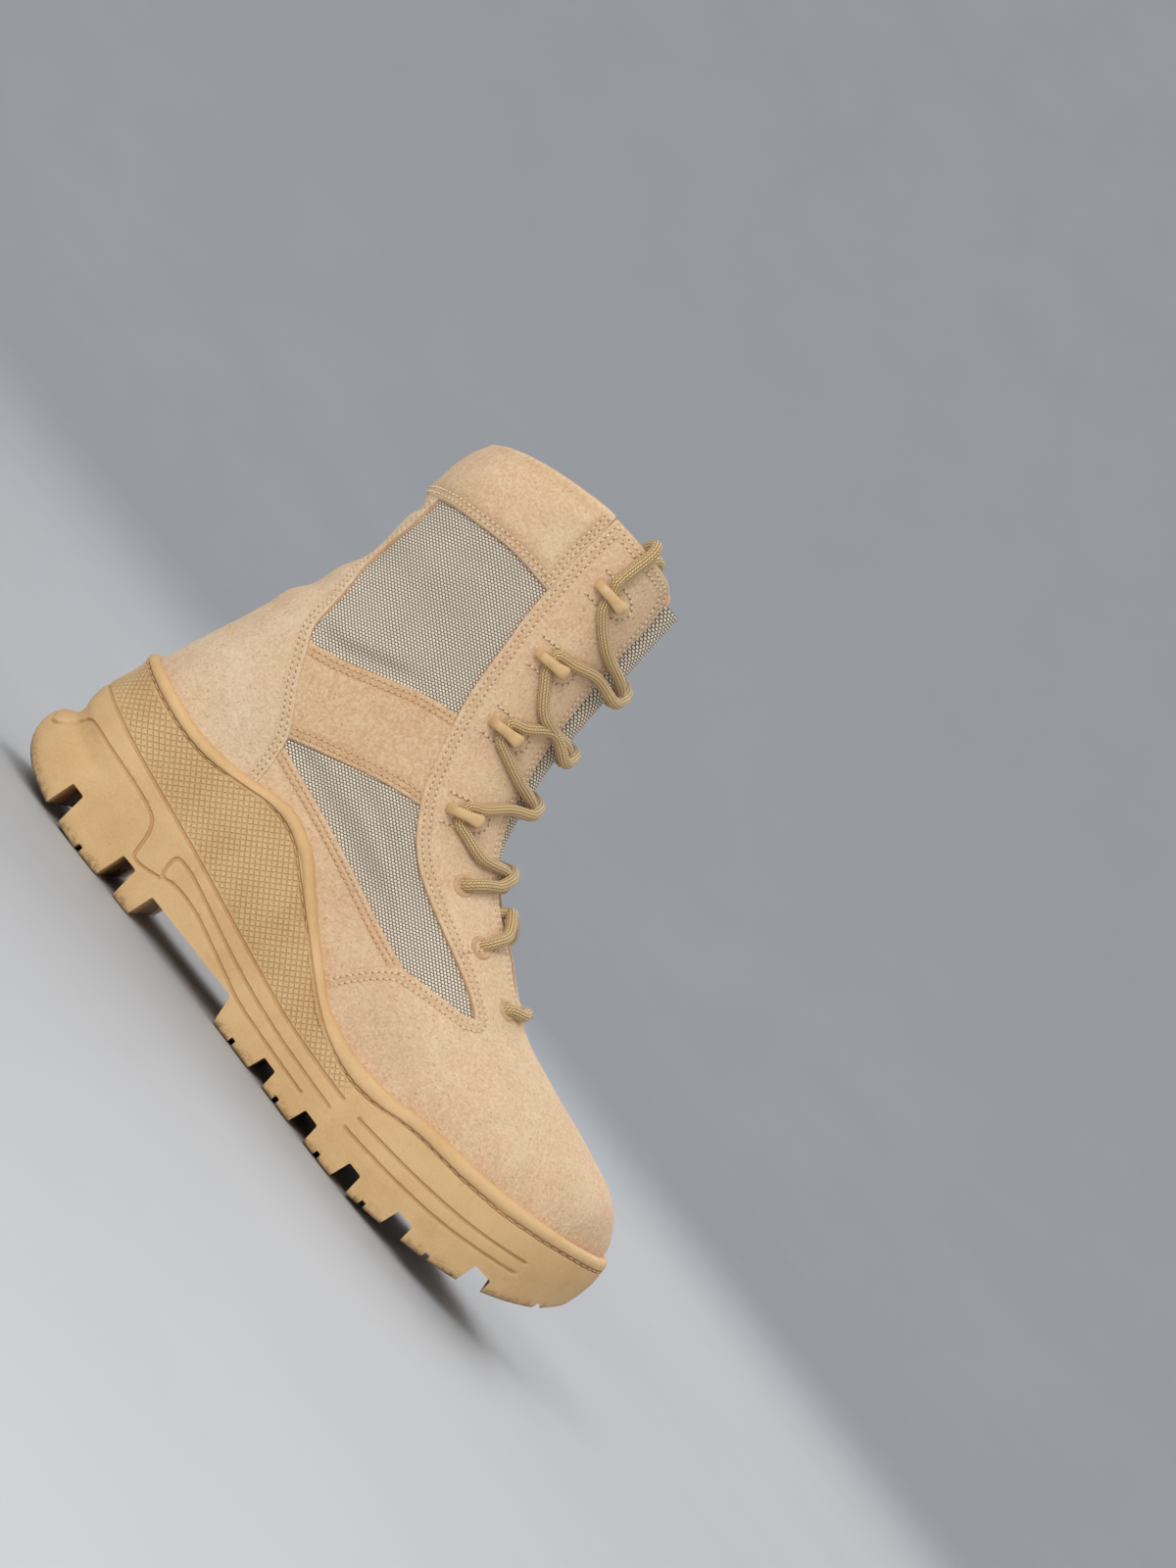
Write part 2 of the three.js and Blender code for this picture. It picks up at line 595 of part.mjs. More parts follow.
// A flanged ring around each eyelet hole.
function eyeletGeometry() {
  const profile = [
    [EYELET_HOLE - 0.1, 0], [EYELET_OUTER, 0], [EYELET_OUTER - 0.5, 0.7],
    [EYELET_HOLE + 0.9, 1.2], [EYELET_HOLE - 0.1, 0.7], [EYELET_HOLE - 0.1, 0],
  ];
  return geometryOf(solid(new THREE.LatheGeometry(profile.map(([r, h]) => new THREE.Vector2(r, h)), 12)));
}

// A moulded lacing loop: a bar on two feet that the lace runs under. Along X, standing up in Y.
function loopGeometry() {
  const end = LOOP_LENGTH / 2;
  const top = LOOP_CLEAR + LOOP_BAR;
  const inner = end - LOOP_FOOT;
  const shape = new THREE.Shape([
    [-end - 0.6, 0], [-inner + 0.4, 0], [-inner, LOOP_CLEAR - 1.2], [-inner + 1, LOOP_CLEAR],
    [inner - 1, LOOP_CLEAR], [inner, LOOP_CLEAR - 1.2], [inner - 0.4, 0], [end + 0.4, 0],
    [end, top - 1], [end - 1.2, top], [-end + 2.4, top], [-end + 0.4, top - 1.6],
  ].map(([x, y]) => new THREE.Vector2(x, y)));
  const geometry = new THREE.ExtrudeGeometry(shape, { depth: LOOP_WIDTH, bevelEnabled: false, steps: 1 });
  geometry.translate(0, 0, -LOOP_WIDTH / 2);
  return geometryOf(solid(geometry));
}

// A lace tube through a hand-placed route.
function laceTube(points, steps) {
  const path = new THREE.CatmullRomCurve3(points, false, 'centripetal');
  const section = new THREE.Shape();
  const sides = 8;
  for (let i = 0; i < sides; i += 1) {
    const angle = (2 * Math.PI * i) / sides;
    const x = (Math.cos(angle) * LACE) / 2;
    const y = (Math.sin(angle) * LACE) / 2;
    if (i === 0) section.moveTo(x, y);
    else section.lineTo(x, y);
  }
  section.closePath();
  const geometry = new THREE.ExtrudeGeometry(section, { steps, extrudePath: path, bevelEnabled: false });
  return solid(geometry);
}

// A point above the facing, and a point above the ridge at a section row.
function abovePoint([x, z], side, lift) {
  const { point, normal } = skinPlace(x, z, side);
  return point.addScaledVector(normal, lift);
}

function ridgePoint(row, y, lift) {
  const step = 0.05;
  const runX = sectionAt('frontX', row + step) - sectionAt('frontX', row - step);
  const runZ = sectionAt('frontZ', row + step) - sectionAt('frontZ', row - step);
  const run = Math.hypot(runX, runZ);
  const x = sectionAt('frontX', row) + (lift * runZ) / run;
  const z = sectionAt('frontZ', row) - (lift * runX) / run;
  return new THREE.Vector3(x, y, z);
}

// Two strands that cross in front of the tongue, joined where they cross.
function crossingGeometry({ upper, upperVia, row, lowerVia, lower }) {
  const over = sectionAt('swell', row) - WALL - TONGUE_UNDER + LACE_LIFT;
  const middle = Math.max(over, LACE_LIFT);
  const strands = [-1, 1].map((side) => laceTube([
    abovePoint(upper, side, LACE_LIFT),
    abovePoint(upperVia, side, LACE_LIFT + GAP),
    ridgePoint(row + 0.12, side * EDGE_Y, middle - 1),
    ridgePoint(row, 0, middle),
    ridgePoint(row - 0.12, -side * EDGE_Y, middle - 1),
    abovePoint(lowerVia, -side, LACE_LIFT + GAP),
    abovePoint(lower, -side, LACE_LIFT),
  ], STRAND_STEPS));
  return geometryOf(strands[0].add(strands[1]));
}

// The lowest crossing starts at the middle eyelets and dives between the facings.
function lowCrossingGeometry({ upper, upperVia, row }) {
  const strands = [-1, 1].map((side) => laceTube([
    abovePoint(upper, side, LACE_LIFT + 1.4),
    abovePoint(upperVia, side, LACE_LIFT + 0.8),
    ridgePoint(row - 0.1, side * EDGE_Y * 0.8, LACE_LIFT + 0.4),
    ridgePoint(row, 0, LACE_LIFT - 0.6),
    ridgePoint(row + 0.1, -side * EDGE_Y * 0.5, LACE_LIFT - 1.2),
  ], STRAND_STEPS - 2));
  return geometryOf(strands[0].add(strands[1]));
}

// The straight bar between the two lowest eyelets.
function barGeometry({ hole, via, row }) {
  return geometryOf(laceTube([
    abovePoint(hole, -1, LACE_LIFT + 1.4),
    abovePoint(via, -1, LACE_LIFT + 0.6),
    ridgePoint(row, 0, LACE_LIFT),
    abovePoint(via, 1, LACE_LIFT + 0.6),
    abovePoint(hole, 1, LACE_LIFT + 1.4),
  ], STRAND_STEPS));
}

// A lace end goes over the top of the flap and stops behind it, at the top loop.
function endGeometry(side) {
  const top = COLLAR[4].z - 2;
  const route = END_ROUTE.map(({ z, lift }) => {
    const { point, normal } = skinPlace(END_X, Math.min(z, top), side);
    point.z = z;
    return point.addScaledVector(normal.setZ(0).normalize(), lift);
  });
  return geometryOf(laceTube(route, END_STEPS));
}

// ---------------------------------------------------------------- assembly

const boot = new THREE.Group();

function addMesh(name, geometry, colour, roughness) {
  geometry.computeVertexNormals();
  const material = new THREE.MeshStandardMaterial({ color: colour, roughness, metalness: 0 });
  const mesh = new THREE.Mesh(geometry, material);
  mesh.name = name;
  boot.add(mesh);
  return mesh;
}

addMesh('sole', soleGeometry(), COLOUR.rubber, 0.75);
addMesh('upper', upperGeometry(), COLOUR.suede, 0.95);
addMesh('insole', insoleGeometry(), COLOUR.lining, 0.9);
addMesh('tongue', tongueGeometry(), COLOUR.fabric, 0.95);
addMesh('collar_cuff', cuffGeometry(), COLOUR.suede, 0.95);

const SIDES = [{ name: 'outer', side: -1 }, { name: 'inner', side: 1 }];

for (const { name, side } of SIDES) {
  EYELETS.forEach((eyelet, i) => {
    const { point, normal } = skinPlace(eyelet.x, eyelet.z, side);
    const ring = addMesh(`eyelet_${name}_${i + 1}`, eyeletGeometry(), COLOUR.hook, 0.6);
    ring.position.copy(point).addScaledVector(normal, 2 * GAP);
    ring.quaternion.setFromUnitVectors(new THREE.Vector3(0, 1, 0), normal);
  });
  LOOPS.forEach(({ x, z, lean }, i) => {
    const { point, normal } = skinPlace(x, z, side);
    const tilt = THREE.MathUtils.degToRad(lean);
    const along = new THREE.Vector3(Math.cos(tilt), 0, Math.sin(tilt));
    along.addScaledVector(normal, -along.dot(normal)).normalize();
    const across = new THREE.Vector3().crossVectors(along, normal);
    const loop = addMesh(`lace_loop_${name}_${i + 1}`, loopGeometry(), COLOUR.hook, 0.5);
    loop.position.copy(point).addScaledVector(normal, 2 * GAP);
    loop.setRotationFromMatrix(new THREE.Matrix4().makeBasis(along, normal, across));
  });
}

CROSSINGS.forEach((crossing, i) => {
  addMesh(`lace_crossing_${i + 1}`, crossingGeometry(crossing), COLOUR.lace, 0.9);
});
addMesh('lace_crossing_5', lowCrossingGeometry(LOW_STRAND), COLOUR.lace, 0.9);
addMesh('lace_bar', barGeometry(BAR), COLOUR.lace, 0.9);
for (const { name, side } of SIDES) {
  addMesh(`lace_end_${name}`, endGeometry(side), COLOUR.lace, 0.9);
}

// The origin is under the middle of the boot, on the floor.
boot.updateMatrixWorld(true);
const box = new THREE.Box3().setFromObject(boot);
boot.position.set(-(box.min.x + box.max.x) / 2, -(box.min.y + box.max.y) / 2, -box.min.z);

export default boot;
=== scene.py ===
"""Combat boot: the looks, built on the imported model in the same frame.

Lengths are millimetres in the boot's own frame: x from the sole's rearmost point towards the toe, z up
from the floor, -y on the outer side. place() turns them into metres in the row frame. Every piece of the
upper is cut from one skin, the true shape of the last, which the tables below share with the CAD model.
"""

import math
import random

import bpy
import numpy as np
from mathutils import Matrix, Vector


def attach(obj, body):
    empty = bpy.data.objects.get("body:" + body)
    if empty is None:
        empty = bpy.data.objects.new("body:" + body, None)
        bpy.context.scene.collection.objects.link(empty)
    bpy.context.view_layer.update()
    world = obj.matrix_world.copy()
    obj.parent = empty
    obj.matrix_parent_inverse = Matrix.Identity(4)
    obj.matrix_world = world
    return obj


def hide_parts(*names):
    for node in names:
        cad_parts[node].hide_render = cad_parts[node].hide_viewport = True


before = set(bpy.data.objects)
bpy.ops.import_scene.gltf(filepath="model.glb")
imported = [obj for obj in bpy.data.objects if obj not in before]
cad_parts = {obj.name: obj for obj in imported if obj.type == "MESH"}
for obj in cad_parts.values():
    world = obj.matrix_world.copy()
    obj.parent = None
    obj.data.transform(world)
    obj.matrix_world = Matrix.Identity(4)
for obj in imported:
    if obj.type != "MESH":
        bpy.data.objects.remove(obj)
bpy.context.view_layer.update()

# ---------------------------------------------------------------- driving dimensions

ORIGIN = np.array([159.0, 0.941, 0.0])   # the row frame's origin in the boot's own frame
WALL = 2.2
GAP = 0.3
HEEL_ROUND = 37
TOE_X = 311.5
TOE_ROUND = 78
ROUND_POWER = 2.2
TOE_POWER = 2.5
BLEND_LOW = 55
BLEND_HIGH = 118
SLIT_LOW = 8
SLIT_HIGH = 11
SLIT_ROW = 7.1
TONGUE_UNDER = 1.1
TONGUE_LOW = 22
TONGUE_HIGH = 26
TONGUE_THICK = 3.2
LACE = 5.0
LACE_LIFT = LACE / 2 + 2 * GAP
EDGE_Y = 9
FABRIC = -0.9        # outer face of the woven fabric, below the skin
LINING = -2.3        # inner face of the wall
LOW_LEATHER = 0.15   # top of the leather pieces that lie under others
HIGH_LEATHER = 0.95  # top of the facing, vamp and backstay
SIDES = {"outer": -1, "inner": 1}
UP = [0, 0, 1.0]
TINY = 1e-9
ROW_STEP = 0.05      # part of a section row, to measure a slope with

# Tables repeat those of the part's source; each one's first column is its key.
PLAN = {
    "x": [12, 50, 95, 135, 175, 210, 235, 270, 312],
    "middle": [0, 0, -2, -3, -2.5, -1.5, 0, 4, 9],
    "half": [35, 36, 33.5, 33, 41, 49.5, 52, 52.5, 47],
}
SHAFT = {
    "z": [20, 60, 72, 92, 110, 128, 142, 165, 185, 210, 262],
    "rear": [12.5, 12, 12.5, 16, 20, 22, 27, 32, 29.5, 28.5, 30],
    "half": [36, 36, 35.5, 35, 34.5, 34, 34, 34.5, 36, 37.5, 40],
}
SECTIONS = {
    "row": list(range(16)),
    "front_x": [311.5, 311.2, 304, 290, 270, 250, 229, 212, 196, 178, 162, 150.5, 141, 134.5, 129, 122],
    "front_z": [20, 57, 69.5, 77.5, 81.5, 84.5, 88.2, 95.5, 105.5, 115, 127.5, 144, 166, 189, 217, 262],
    "rear_z": [20, 42, 47, 52, 58, 64, 71, 79, 89, 100, 113, 131, 154, 178, 207, 262],
    "round": [28, 28, 29, 34, 38, 42, 46, 50, 54, 54, 52, 49, 47, 45, 45, 46],
    "swell": [0, 0, 0, 0, 0, 0, 0, 0, 1, 1.5, 2.6, 5.2, 6.8, 8.3, 8.8, 8.8],
}
FIRST_RIDGE = 2
LAST_ROW = 15
RIDGE_RUNOUT = [(320, 24), (318.5, 50), (312, 62)]
FOOTBED = {
    "x": [0, 60, 110, 150, 190, 225, 260, 290, 320],
    "z": [45, 43.5, 37, 29, 22.5, 22, 25, 30.5, 38],
}
TREAD = {
    "x": [0, 2, 7, 20, 40, 54, 218, 240, 280, 309, 318],
    "z": [17, 13, 9.5, 4.5, 1.2, 0, 0, 3, 12, 26, 35],
}
RIM_TOP = {
    "x": [7, 20, 50, 70, 97, 112, 130, 150, 170, 190, 210, 225, 250, 290, 317],
    "z": [72, 70.5, 67.5, 70, 77, 73.3, 61.5, 49, 39, 36.5, 38.5, 42.8, 46, 53.5, 60],
}
RIM_HEIGHT = {"x": [0, 97, 130, 190, 317], "z": [5, 5.5, 6, 7, 5]}
TREAD_GAPS = [
    (32, 41, 15.5), (67, 77, 13.5), (87, 142, 12), (164.5, 174, 8),
    (191, 201, 8.5), (218, 227, 9.7), (244.5, 255, 13), (280, 291, 22),
]
SIPES = [54.5, 152.5, 181.5, 208.5, 234.5, 266, 310]
CHANNELS = [-14, 14]
COLLAR = [(-20, 222), (0, 222), (28, 228.5), (40, 236), (60, 243), (85, 249.5), (114, 250.5),
          (119.5, 249), (122, 245), (124, 238), (135, 200)]
EYELETS = [(161, 110), (184.5, 99.5), (210, 91.5)]
LOOPS = [(107.3, 227.5, 4), (113.2, 193, 12), (122.6, 161.5, 12), (138.4, 127.6, 27)]
CROSSINGS = [
    {"upper": (110, 221.5), "upper_via": (120, 213.5), "row": 13.6,
     "lower_via": (126, 203), "lower": (118, 198.8)},
    {"upper": (117, 186.5), "upper_via": (126, 177.5), "row": 12.3,
     "lower_via": (133, 175.5), "lower": (126, 168)},
    {"upper": (127.8, 156.4), "upper_via": (139, 152.6), "row": 11.2,
     "lower_via": (146, 142), "lower": (141.4, 134.6)},
    {"upper": (144.6, 123), "upper_via": (155, 121), "row": 9.7,
     "lower_via": (168, 118), "lower": (165.4, 114.6)},
]
# The lace from the last loop to the bar, in and out of the eyelets: place seen from the side, and lift.
FIRST_EYELET_RUN = [(164.5, 114.6, 3.4), (161.6, 110.8, 2.2), (161, 110, -1.5), (165, 109, -5.5),
                    (170, 108, -6)]
LAST_CROSSING = [(9.0, 8, -3.5), (8.95, 2, 1.6), (8.9, -5, 3.6)]      # section row, y and lift
LOW_EYELETS_RUN = [(186.2, 107.5, 3.9), (185.4, 102.5, 3.2), (184.5, 99.5, -1.5), (189.5, 96.5, -5.5),
                   (200, 93, -5.5), (208.5, 91.2, -3), (210.6, 91.9, 1.6), (214.5, 92.5, 3.4)]
BAR_ROW = 6.85
END_X = 104.8
END_ROUTE = [(234, 3.4), (239, 3.3), (244, 3.3), (249, 3.3), (252.8, 2.0), (254.6, -1.1),
             (252.8, -4.3), (249, -5.7), (244, -5.7), (239, -5.8), (234, -5.8), (229, -5.8)]
END_TOP = 247.5      # the ends follow the skin up to this height

# Outlines of the leather pieces and the cuff, seen from the side.
FACING_REAR = [(86, 252), (87, 240), (88.5, 225), (91, 211), (93, 198), (96, 188), (100, 172), (104, 158),
               (108, 149), (112, 140), (117, 130), (122, 121), (128, 114.5), (135, 107), (145, 100.5),
               (155, 97), (165, 94), (175, 91.5), (185, 89), (195, 86), (203, 82.6), (205.5, 81)]
VAMP_REAR = [(203, 79.2), (196, 77.6), (188, 75.8), (180, 73.8), (172, 71.5), (168, 67.5), (164, 62.5),
             (160, 56), (158, 52), (156, 48), (152, 36)]
BACKSTAY_FRONT = [(33, 206), (34.5, 190), (35, 180), (34.5, 165), (36, 158), (39, 150), (41, 140),
                  (42.5, 132), (44, 127), (50, 120), (57, 110), (65, 102), (72, 94), (75, 86), (78, 76),
                  (79, 66), (79, 40)]
STRAP_TOP = [(30, 117), (48, 124), (60, 128.5), (70, 134), (80, 139.5), (90, 145), (100, 149), (112, 153)]
STRAP_LOW = [(66, 90), (73, 93), (80, 97), (90, 102), (100, 107), (110, 111.5), (118, 114.5), (134, 119)]
QUARTER_TOP = [(60, 91), (75, 89.5), (90, 87), (110, 84), (130, 80), (150, 75.5), (165, 73), (178, 71.5)]
CUFF_LOW = [(-20, 186), (0, 189), (26, 195), (30, 197.5), (40, 201.5), (50, 204), (60, 206.5), (70, 208.6),
            (80, 209.3), (93, 209.6)]
SHORT_SEAM = [(181, 91), (183, 95), (187, 101), (192, 105.5)]

# Main creases: a line, how deep it goes (less than 0 stands out) and how wide it is.
CREASES = [
    ([(42, 130.5), (48, 130), (55, 131.5), (62, 134.4), (70, 138.4), (80, 143.8), (90, 148.4)], 1.9, 1.8),
    ([(44, 136.5), (56, 138), (68, 143.5), (82, 151)], -1.3, 4.0),
    ([(36, 170), (50, 166), (66, 167), (80, 171)], 0.7, 6.0),
    ([(74, 92), (86, 94), (98, 97), (110, 102)], 0.9, 2.6),
    ([(76, 92.5), (95, 91), (112, 88.2), (130, 84.8), (152, 79.8)], 1.3, 2.0),
    ([(82, 97), (100, 98), (120, 95), (140, 90), (160, 84)], -1.2, 2.8),
    ([(102, 104.5), (120, 101.5), (138, 95.5), (156, 88.5)], 1.1, 1.9),
    ([(36, 186), (50, 191), (66, 194), (82, 196)], 0.9, 4.5),
    ([(38, 152), (52, 157), (70, 160), (88, 160)], 0.8, 4.5),
    ([(16, 189), (26, 190.5), (33, 192)], 1.5, 2.4),
    ([(14, 195.5), (24, 198.5), (32, 200)], -1.7, 2.8),
    ([(18, 147), (30, 151), (40, 152)], -1.0, 5.0),
    ([(18, 134), (30, 139), (40, 141)], 0.9, 4.0),
    ([(17, 118), (30, 123), (42, 123)], 0.6, 4.5),
    ([(20, 152), (30, 155), (36, 156)], -0.5, 6.0),
    ([(96, 190), (108, 184), (120, 182)], 0.5, 5.0),
    ([(104, 158), (116, 150), (130, 148)], 0.5, 5.0),
    ([(198, 72), (214, 78), (226, 88)], 0.45, 5.0),
    ([(214, 60), (230, 68), (242, 84)], 0.4, 6.0),
    ([(112, 74), (130, 66), (146, 56)], 0.35, 5.0),
]


# ---------------------------------------------------------------- curves and the last

def column(table, name, at):
    """Smooth value of a named column, with no overshoot between the rows."""
    keys = np.asarray(next(iter(table.values())), float)
    values = np.asarray(table[name], float)
    slope = np.diff(values) / np.diff(keys)
    product = slope[:-1] * slope[1:]
    total = np.where(product > 0, slope[:-1] + slope[1:], 1)
    tangent = np.concatenate([[slope[0]], np.where(product > 0, 2 * product / total, 0), [slope[-1]]])
    at = np.clip(np.asarray(at, float), keys[0], keys[-1])
    i = np.clip(np.searchsorted(keys, at) - 1, 0, len(keys) - 2)
    width = keys[i + 1] - keys[i]
    t = (at - keys[i]) / width
    stay = (1 + 2 * t) * (1 - t) ** 2 * values[i]
    go = t * t * (3 - 2 * t) * values[i + 1]
    turn = t * (1 - t) * width * ((1 - t) * tangent[i] - t * tangent[i + 1])
    return stay + go + turn


def smooth_step(low, high, value):
    """0 up to low, 1 from high on, and a smooth change between."""
    t = np.clip((np.asarray(value, float) - low) / (high - low), 0, 1)
    return t * t * (3 - 2 * t)


def rise(depth, power=ROUND_POWER):
    """Rise of a round end: 0 at the edge, 1 at the depth of the rounding and beyond."""
    return (1 - (1 - np.clip(depth, 0, 1)) ** power) ** (1 / power)


def smooth_line(points, rounds=2):
    """The line with its corners cut, ends kept."""
    line = np.asarray(points, float)
    for _ in range(rounds):
        near = 0.75 * line[:-1] + 0.25 * line[1:]
        far = 0.25 * line[:-1] + 0.75 * line[1:]
        middle = np.stack([near, far], 1).reshape(-1, line.shape[1])
        line = np.concatenate([line[:1], middle, line[-1:]])
    return line


def unit(vectors):
    """A vector, or each row of vectors, at length 1."""
    return vectors / np.maximum(np.linalg.norm(vectors, axis=-1, keepdims=True), TINY)


def run_length(points):
    """Distance along a line, or each of many lines, at its points."""
    step = np.linalg.norm(np.diff(points, axis=-2), axis=-1)
    return np.concatenate([np.zeros(step.shape[:-1] + (1,)), np.cumsum(step, axis=-1)], -1)


def spaced(line, count):
    """So many points, evenly along a line."""
    along = run_length(line)
    even = np.linspace(0, along[-1], count)
    return np.stack([np.interp(even, along, values) for values in np.transpose(line)], 1)


def crowded_shares(count):
    """Numbers from 0 to 1 that crowd at both ends."""
    return (1 - np.cos(np.linspace(0, math.pi, count))) / 2


def nearest_on(line, x, z):
    """For each point: distance to the line, the place along it, and the unit vector away from it."""
    best = np.full(x.shape, np.inf)
    place_on = np.zeros(x.shape)
    away_x = np.zeros(x.shape)
    away_z = np.zeros(x.shape)
    for i, (a, b) in enumerate(zip(line[:-1], line[1:])):
        run = b - a
        t = np.clip(((x - a[0]) * run[0] + (z - a[1]) * run[1]) / max(run @ run, TINY), 0, 1)
        off_x = x - a[0] - t * run[0]
        off_z = z - a[1] - t * run[1]
        distance = np.hypot(off_x, off_z)
        closer = distance < best
        best = np.where(closer, distance, best)
        place_on = np.where(closer, i + t, place_on)
        away_x = np.where(closer, off_x, away_x)
        away_z = np.where(closer, off_z, away_z)
    size = np.maximum(best, TINY)
    return best, place_on, away_x / size, away_z / size


def in_outline(outline, x, z):
    """Distance inside a closed outline, less than 0 outside, and the unit vector away from its line."""
    closed = np.concatenate([outline, outline[:1]])
    inside = np.zeros(x.shape, bool)
    for a, b in zip(closed[:-1], closed[1:]):
        crosses = (a[1] > z) != (b[1] > z)
        at = a[0] + (z - a[1]) * (b[0] - a[0]) / (b[1] - a[1] if b[1] != a[1] else 1)
        inside ^= crosses & (x < at)
    distance, _, away_x, away_z = nearest_on(closed, x, z)
    return np.where(inside, 1, -1) * distance, away_x, away_z


def section_front(rows):
    """Where the section rows meet the ridge, as x and z."""
    return np.stack([column(SECTIONS, name, rows) for name in ("front_x", "front_z")], -1)


def ridge_table():
    """Ridge line of toe, vamp and throat, with the rounding depth at each point."""
    rows = np.arange(FIRST_RIDGE, LAST_ROW + TINY, 1 / 8)
    on_rows = np.column_stack([section_front(rows), column(SECTIONS, "round", rows)])
    first_round = SECTIONS["round"][FIRST_RIDGE]
    return np.concatenate([[(x, z, first_round) for x, z in RIDGE_RUNOUT], on_rows])


RIDGE = ridge_table()


def skin_middle(x, z):
    """The y of the boot's middle, which the foot's curve moves to one side."""
    return column(PLAN, "middle", x) * (1 - smooth_step(BLEND_LOW, BLEND_HIGH, z))


def widest_half(x, z):
    """Half the width of the last before its ends and ridge are rounded."""
    foot = column(PLAN, "half", x)
    return foot + (column(SHAFT, "half", z) - foot) * smooth_step(BLEND_LOW, BLEND_HIGH, z)


def skin_half(x, z):
    """Half the width of the skin."""
    x, z = np.broadcast_arrays(np.asarray(x, float), np.asarray(z, float))
    heel = rise((x - column(SHAFT, "rear", z)) / HEEL_ROUND)
    toe = rise((TOE_X - x) / TOE_ROUND, TOE_POWER)
    distance, along, _, _ = nearest_on(RIDGE[:, :2], x, z)
    depth = distance / np.interp(along, np.arange(len(RIDGE)), RIDGE[:, 2])
    return widest_half(x, z) * heel * toe * rise(depth)


def skin_place(x, z, side):
    """Place on the upper's surface, as a point and its outward normal."""
    def across(at_x, at_z):
        return float(skin_middle(at_x, at_z) + side * skin_half(at_x, at_z))
    step = 0.5
    slope_x = (across(x + step, z) - across(x - step, z)) / (2 * step)
    slope_z = (across(x, z + step) - across(x, z - step)) / (2 * step)
    return np.array([x, across(x, z), z]), unit(np.array([-side * slope_x, side, -side * slope_z]))


def above(x, z, side, lift):
    """The point that stands off the upper's surface by the lift."""
    point, normal = skin_place(x, z, side)
    return point + normal * lift


def ridge_point(row, y, lift):
    """The point over the ridge of a section row, moved to y."""
    run_x, run_z = section_front(row + ROW_STEP) - section_front(row - ROW_STEP)
    x, z = section_front(row) + lift * np.array([run_z, -run_x]) / math.hypot(run_x, run_z)
    return np.array([x, y, z])


def round_trip(out, home):
    """Values along one side of the boot and back along the other, as a closed ring."""
    return np.concatenate([out, home[..., -2:0:-1]], -1)


def both_sides(x, half, middle, z):
    """Closed rings of points, in order rear, outer side, front and inner side."""
    half = half.copy()
    half[..., [0, -1]] = 0
    return np.stack([round_trip(x, x), round_trip(middle - half, middle + half), round_trip(z, z)], -1)


def ring_quads(rings, around):
    """Quads between closed rings of points."""
    corner = np.arange(rings * around).reshape(rings, around)
    right = np.roll(corner, -1, axis=1)
    return np.stack([corner[:-1], right[:-1], right[1:], corner[1:]], 2).reshape(-1, 4)


def tube_faces(rings, around, first=0, flip=False, capped=True):
    """Faces over closed rings of points, with a cap at either end."""
    quads = ring_quads(rings, around) + first
    faces = (quads[:, [0, 3, 2, 1]] if flip else quads).tolist()
    if capped:
        low = list(range(first, first + around))
        high = [k + (rings - 1) * around for k in low]
        faces += [low, high[::-1]] if flip else [low[::-1], high]
    return faces


def place(points):
    """Millimetres in the boot's own frame to metres in the row frame."""
    return (np.asarray(points, float) - ORIGIN) / 1000


def finish_piece(piece, material, slot, *stands_for, holes=None):
    """Finishes a piece: its material, its body and the CAD nodes that it stands for; slot is not used."""
    marked = [face.material_index for face in piece.data.polygons]
    piece.data.materials.clear()
    piece.data.materials.append(material)
    if holes is not None:
        piece.data.materials.append(holes)
    piece.data.polygons.foreach_set("material_index", marked)
    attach(piece, "root")
    if stands_for:
        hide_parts(*stands_for)


def set_values(mesh, values):
    """Keeps named numbers or vectors at the mesh's points, for the materials."""
    for key, value in values.items():
        kind, field = ("FLOAT", "value") if np.ndim(value) == 1 else ("FLOAT_VECTOR", "vector")
        layer = mesh.attributes.new(key, kind, "POINT")
        layer.data.foreach_set(field, np.asarray(value, float).ravel())


def make_piece(name, points, faces, values=None):
    """A mesh object from millimetre points, with named values at its points."""
    mesh = bpy.data.meshes.new(name)
    mesh.from_pydata(place(points).tolist(), [], [list(map(int, face)) for face in faces])
    set_values(mesh, values or {})
    mesh.validate()
    mesh.shade_smooth()
    piece = bpy.data.objects.new(name, mesh)
    bpy.context.scene.collection.objects.link(piece)
    return piece


# ---------------------------------------------------------------- camera and cords come first

def make_camera():
    """Level with the ankle, on the outer side, a little towards the toe, and rolled as the picture is."""
    data = bpy.data.cameras.new("camera")
    camera = bpy.data.objects.new("camera", data)
    bpy.context.scene.collection.objects.link(camera)
    bpy.context.scene.camera = camera
    data.sensor_fit = "VERTICAL"
    data.sensor_height = 36
    data.lens = CAMERA_LENS
    eye = Vector(place(CAMERA_EYE))
    target = Vector(place(CAMERA_TARGET))
    back = (eye - target).normalized()
    right = Vector((0, 0, 1)).cross(back).normalized()
    up = back.cross(right)
    roll = math.radians(CAMERA_ROLL)
    rolled_right = right * math.cos(roll) + up * math.sin(roll)
    rolled_up = up * math.cos(roll) - right * math.sin(roll)
    turn = Matrix((rolled_right, rolled_up, back)).transposed().to_4x4()
    camera.matrix_world = Matrix.Translation(eye) @ turn


CAMERA_EYE = (240, -1525, 176)
CAMERA_TARGET = (161.6, -45, 174.3)
CAMERA_LENS = 86.5
CAMERA_ROLL = 51.2
make_camera()


PATH_SPLITS = 24     # points of the curve between two given points


